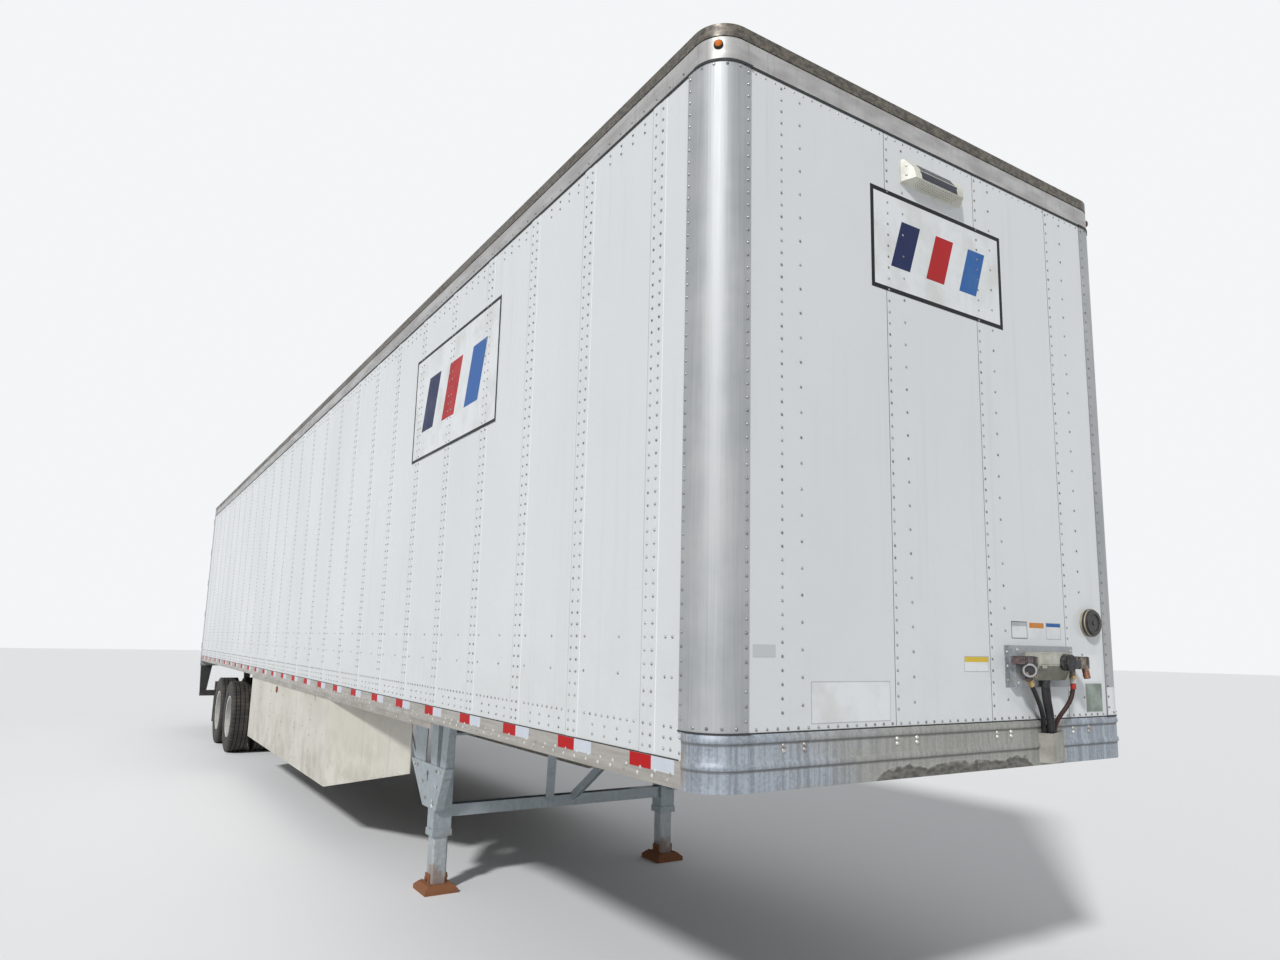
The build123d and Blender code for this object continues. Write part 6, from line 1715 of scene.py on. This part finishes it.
cam_back = 0.112
cam_z = 0.455
chamber_y = 0.300
chamber_z = 0.600
pivot_z = 0.680
gear = bmesh.new()
bands = bmesh.new()
bogie_bolts = []
for axle_x in axle_places:
    for side in (-1, 1):
        y = side * chamber_y
        cam = (axle_x - cam_back, 0, cam_z)
        near, far = sorted((side * 0.255, side * 0.692))
        disc(gear, near, far, 0.019, cam, "y", 16)
        block(gear, (cam[0] - 0.012, y - 0.012, cam_z - 0.015), (cam[0] + 0.032, y + 0.012, 0.622), 0.005)
        disc(gear, y - 0.022, y + 0.022, 0.034, cam, "y", 20)
        disc(gear, -0.095, -0.015, 0.009, (axle_x, y, chamber_z), "x", 12)
        middle = (axle_x + 0.06, y, chamber_z)
        turned(bands, ((0.117, 0.0845), (0.120, 0.0885), (0.130, 0.0885), (0.134, 0.0865), (0.138, 0.0885),
                       (0.150, 0.0885), (0.153, 0.0845)), middle, "x", 40, closed=True)
        block(bands, (axle_x + 0.180, y - 0.014, 0.685), (axle_x + 0.212, y + 0.014, 0.706), 0.002)
        turned(bands, ((0.268, 0.0), (0.268, 0.024), (0.278, 0.018), (0.278, 0.0)), middle, "x", 20)
        for across, up in round_places(0.052, 6, math.pi / 6):
            bogie_bolts.append(((axle_x + 0.3305, y + across, chamber_z + up), (1, 0, 0)))
        pivot_x = axle_x + 0.500
        for across, away in ((0.422, -side), (0.514, side)):
            bogie_bolts.append(((pivot_x, side * across, pivot_z), (0, away, 0)))
        for x in (-0.09, 0.09):
            for z in (0.43, 0.58):
                bogie_bolts.append(((axle_x + x, side * 0.499, z), (0, side, 0)))
piece("brake_gear", gear, [bright_zinc], "bogie")
piece("brake_chamber_bands", bands, [bright_zinc], "bogie")
hex_bolts("bogie_bolts", bogie_bolts, 0.013, 0.009, "bogie")

tank_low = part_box("air_tank")[0]
tank_radius = 0.11
tank_centre = (tank_low.x + tank_radius, 0, tank_low.z + tank_radius)
straps = bmesh.new()
# columns: distance from the middle, half width below, half width above, height over the tank
for strap_y, foot, crest, over in ((0.18, 0.018, 0.018, 0.0025), (0.255, 0.004, 0.002, 0.0012)):
    for y in (-strap_y, strap_y):
        turned(straps, ((y - foot, tank_radius - 0.0005), (y - crest, tank_radius + over),
                        (y + crest, tank_radius + over), (y + foot, tank_radius - 0.0005)),
               tank_centre, "y", 48, closed=True)
turned(straps, ((-0.118, 0.0), (-0.118, 0.006), (-0.112, 0.011), (-0.108, 0.011), (-0.108, 0.0)),
       tank_centre, "z", 12)
piece("air_tank_straps", straps, [bright_zinc], "bogie")

flap_rubber = rubber("Flap rubber", (0.02, 0.02, 0.02), (0.2, 0.175, 0.14), 0.7)
dress(flap_rubber, "mud_flaps")
flap_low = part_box("mud_flaps")[0]
flap_ribs = []
flap_bolts = []
for side in (-1, 1):
    for i in range(24):
        flap_ribs.append((flap_low.x - 0.0012, side * (0.695 + i * 0.0239), 0.56))
    for i in range(5):
        flap_bolts.append(((flap_low.x - 0.003, side * (0.70 + i * 0.135), 0.900), (-1, 0, 0)))
ribs("flap_ribs", flap_ribs, (0.0024, 0.009, 0.54), flap_rubber, "bogie")
flap_bar = bmesh.new()
for side in (-1, 1):
    block(flap_bar, (flap_low.x - 0.003, side * 0.668, 0.884),
          (flap_low.x + 0.0002, side * 1.272, 0.917), 0.001)
piece("flap_clamp_bars", flap_bar, [bright_zinc], "bogie")
hex_bolts("flap_bolts", flap_bolts, 0.009, 0.006, "bogie")


# Wheels: dual tyres with four grooves and sipes on steel rims, clamped to the hub by ten flange nuts.
# The rims are painted white, the drum rusts, and an oil window closes the hub.
wheel_group, given, out = shader_group("Wheel place", (("Axle", "Float", 0.0), ("Height", "Float", 0.505)),
                                       (("Radius", "Float"), ("Outward", "Float")))
place = here(wheel_group)
parts = axes(place)
ahead = calc("SUBTRACT", parts[0], given["Axle"])
above = calc("SUBTRACT", parts[2], given["Height"])
squares = calc("ADD", calc("MULTIPLY", ahead, ahead), calc("MULTIPLY", above, above))
wheel_group.links.new(calc("SQRT", squares), out["Radius"])
wheel_group.links.new(calc("ABSOLUTE", parts[1]), out["Outward"])


def rim_finish(name, axle_x):
    """White rim paint, a rusty drum and hub, brake dust towards the middle."""
    made, tree, shader = finish_of(name, 0.4, 0.1)
    where = use_group(tree, wheel_group, Axle=axle_x, Height=axle_height)
    chips = noise(tree, (1, 1, 1), 20, 6, 0.65)
    grime = noise(tree, (1, 1, 1), 5, 4)
    white = blend(fade(grime, 0.3, 0.7), (0.6, 0.6, 0.58), (0.44, 0.43, 0.4))
    dusty = calc("MULTIPLY", fade(where["Radius"], 0.12, 0.24, 1.0, 0.1), fade(chips, 0.4, 0.6))
    white = blend(dusty, white, (0.16, 0.115, 0.085))
    cast = blend(fade(chips, 0.4, 0.6), (0.13, 0.068, 0.04), (0.06, 0.045, 0.038))
    inner = fade(where["Radius"], 0.2155, 0.2165, 1.0, 0.0)
    behind = fade(where["Outward"], 0.93, 0.932, 1.0, 0.0)
    hub = fade(where["Radius"], 0.0825, 0.0835, 1.0, 0.0)
    bare = calc("MAXIMUM", calc("MULTIPLY", inner, behind), hub)
    rusty = fade(chips, 0.66, 0.72)
    tint = blend(bare, blend(rusty, white, (0.2, 0.1, 0.05)), cast)
    coat(shader, tint, fade(chips, 0.35, 0.7, 0.34, 0.62))
    relief(shader, chips, 0.0008)
    return made


def tread_finish(name, axle_x):
    """Tyre rubber, worn pale on the tread and dusty in the grooves and on the sidewalls."""
    made, tree, shader = finish_of(name, 0.66, Specular_IOR_Level=0.3)
    where = use_group(tree, wheel_group, Axle=axle_x, Height=axle_height)
    fine = noise(tree, (1, 1, 1), 130, 4)
    soft = noise(tree, (1, 1, 1), 6, 4)
    rubber_tint = blend(fine, (0.017, 0.017, 0.018), (0.03, 0.0295, 0.029))
    worn = fade(where["Radius"], 0.498, 0.503)
    tint = blend(calc("MULTIPLY", worn, 0.6), rubber_tint, (0.07, 0.066, 0.06))
    dusty = calc("MULTIPLY", fade(soft, 0.42, 0.66), 0.35)
    coat(shader, blend(dusty, tint, (0.14, 0.12, 0.095)), fade(soft, 0.3, 0.7, 0.55, 0.8))
    relief(shader, fine, 0.0004)
    return made


# The tyre tree: copies of one pitch of the tread round the axle's line, joined, once for each twin.
tyre_tree, given, out = geometry_tree("Tyre pair", (
    ("Pitches", "Int", 54), ("Inner centre", "Vector", (0, 0, 0)), ("Outer centre", "Vector", (0, 0, 0)),
    ("Rubber", "Material", None),
))
around = put(tyre_tree, "GeometryNodeMeshLine", Count=given["Pitches"], Offset=(0.0, 0.0, 0.0))
number = tyre_tree.nodes.new("GeometryNodeInputIndex")
share = calc("DIVIDE", number.outputs[0], given["Pitches"])
spin_node = put(tyre_tree, "FunctionNodeAxisAngleToRotation", Axis=(0.0, 1.0, 0.0),
                Angle=calc("MULTIPLY", share, 2 * math.pi))
copies = put(tyre_tree, "GeometryNodeInstanceOnPoints", Points=around.outputs[0], Instance=given["Geometry"],
             Rotation=spin_node.outputs[0])
whole = put(tyre_tree, "GeometryNodeRealizeInstances", Geometry=copies.outputs[0])
closed_ring = put(tyre_tree, "GeometryNodeMergeByDistance", Geometry=whole.outputs[0], Distance=0.0002)
twins = tyre_tree.nodes.new("GeometryNodeJoinGeometry")
for title in ("Inner centre", "Outer centre"):
    moved = put(tyre_tree, "GeometryNodeTransform", Geometry=closed_ring.outputs[0], Translation=given[title])
    tyre_tree.links.new(moved.outputs[0], twins.inputs[0])
dressed = put(tyre_tree, "GeometryNodeSetMaterial", Geometry=twins.outputs[0], Material=given["Rubber"])
tyre_tree.links.new(dressed.outputs[0], out[0])

tread_half = 0.1215
tread_grooves = ((-0.083, 0.012), (-0.030, 0.012), (0.030, 0.012), (0.083, 0.012))
groove_floor = 0.491
sidewall = ((0.112, 0.2885), (0.1165, 0.296), (0.1185, 0.306), (0.1255, 0.322), (0.1275, 0.3235),
            (0.1285, 0.330), (0.1345, 0.362), (0.1371, 0.392), (0.1371, 0.415), (0.1372, 0.4165),
            (0.1372, 0.422), (0.1362, 0.4235), (0.1345, 0.446), (0.1318, 0.4655), (0.1325, 0.467),
            (0.1300, 0.484), (0.1262, 0.494))


def tread_row(crown, sipe):
    """The tyre's outline across, from one bead over the tread to the other."""
    half_row = []
    for centre, width in tread_grooves:
        if centre > 0:
            half_row += [(centre - width / 2, crown - sipe * 0.4), (centre - width / 2 + 0.002, groove_floor),
                         (centre + width / 2 - 0.002, groove_floor), (centre + width / 2, crown - sipe)]
    shoulder = [(tread_half - 0.004, crown - sipe), (tread_half, crown - 0.002 - sipe)]
    right = [(0.0, crown - sipe * 0.4)] + half_row + shoulder + list(sidewall[::-1])
    left = [(-across, radius) for across, radius in right[:0:-1]]
    return left + right


pitches = 54
pitch_angle = 2 * math.pi / pitches
tread_stations = ((-0.5, 0.505, 0.0), (0.34, 0.505, 0.0), (0.34, 0.505, 0.007), (0.5, 0.505, 0.007),
                  (0.5, 0.505, 0.0))
wedge_shape = bmesh.new()
rows = []
for part, crown, sipe in tread_stations:
    turn_angle = part * pitch_angle
    rows.append([wedge_shape.verts.new((radius * math.sin(turn_angle), across, radius * math.cos(turn_angle)))
                 for across, radius in tread_row(crown, sipe)])
skin(wedge_shape, rows)
bmesh.ops.remove_doubles(wedge_shape, verts=wedge_shape.verts, dist=1e-5)
tread_wedge = bpy.data.meshes.new("tread_wedge")
wedge_shape.to_mesh(tread_wedge)
wedge_shape.free()

twin_middle = 0.981
half_spacing = 0.1715
twin_centres = (twin_middle - half_spacing, twin_middle + half_spacing)
disc_face = 0.995
stud_circle = 0.1429
# hub cap, oil window and its plug; columns: distance out and radius of each corner, steps, finish
hub_profiles = (
    (((1.118, 0.0), (1.118, 0.0695), (1.128, 0.0695), (1.13, 0.0635), (1.158, 0.0605), (1.172, 0.0575),
      (1.1785, 0.052), (1.1785, 0.040), (1.1765, 0.0385), (1.1765, 0.0)), 36, 1),
    (((1.1763, 0.0), (1.1763, 0.038), (1.1782, 0.036), (1.1782, 0.0)), 28, 2),
    (((1.1782, 0.0), (1.1782, 0.011), (1.1795, 0.009), (1.1795, 0.0)), 16, 3),
)
# columns: distance out past the bead seat, radius
rim_lip = ((-0.004, 0.274), (-0.004, 0.2862), (0.0002, 0.2885), (0.0018, 0.298), (0.0052, 0.298),
           (0.0052, 0.286), (0.001, 0.274))
for place_word, axle_x in zip(("front", "rear"), axle_places):
    rim_paint = rim_finish(f"Rim paint {place_word}", axle_x)
    tread = tread_finish(f"Tyre rubber {place_word}", axle_x)
    for side, word in ((1, "left"), (-1, "right")):
        corner_word = f"{word}_{place_word}"
        body = corner_word + "_wheels"
        dress(rim_paint, corner_word + "_wheel")
        values = {"Pitches": pitches, "Inner centre": (axle_x, side * twin_centres[0], axle_height),
                  "Outer centre": (axle_x, side * twin_centres[1], axle_height), "Rubber": tread}
        tyres = grown(corner_word + "_treads", tread_wedge.copy(), tyre_tree, values, body, [tread],
                      smooth=28)
        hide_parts(corner_word + "_tyres")
        studs = [(axle_x + ahead, axle_height + up)
                 for up, ahead in round_places(stud_circle, 10, math.pi / 10)]
        nuts = [((x, side * (disc_face + 0.013), z), (0, side, 0)) for x, z in studs]
        rivets(corner_word + "_lug_nuts", nuts, hardware_zinc, body, radius=0.0195, height=0.026, sides=6,
               crown=0.93)
        hub_parts = bmesh.new()
        for x, z in studs:
            for outer_end, radius, steps in ((1.034, 0.0095, 10), (0.9995, 0.0235, 16)):
                near, far = sorted((side * disc_face, side * outer_end))
                disc(hub_parts, near, far, radius, (x, 0, z), "y", steps)
        centre = (axle_x, 0, axle_height)
        for profile, steps, finish in hub_profiles:
            turned(hub_parts, [(side * y, radius) for y, radius in profile], centre, "y", steps,
                   finish=finish)
        for lip_side in (-1, 1):
            for twin in twin_centres:
                profile = [(side * (twin + lip_side * (0.118 + out_by)), radius) for out_by,
                           radius in rim_lip]
                turned(hub_parts, profile, centre, "y", 54, closed=True, finish=4)
        stem_angle = math.radians(18)
        stem = Vector((axle_x + 0.262 * math.sin(stem_angle), side * 1.19,
                       axle_height + 0.262 * math.cos(stem_angle)))
        aimed(hub_parts, ((0.0, 0.0), (0.0, 0.004), (0.035, 0.004), (0.035, 0.0052), (0.048, 0.0052),
                          (0.048, 0.0)), stem, (0, side, 0), 8, finish=3)
        hub_finishes = [bright_zinc, portal_zinc, window_glass, brass, rim_paint]
        piece(corner_word + "_hub_parts", hub_parts, hub_finishes, body)
        cap_bolts = [((axle_x + ahead, side * 1.1295, axle_height + up), (0, side, 0))
                     for up, ahead in round_places(0.0655, 6)]
        hex_bolts(corner_word + "_cap_bolts", cap_bolts, 0.0042, 0.004, body)
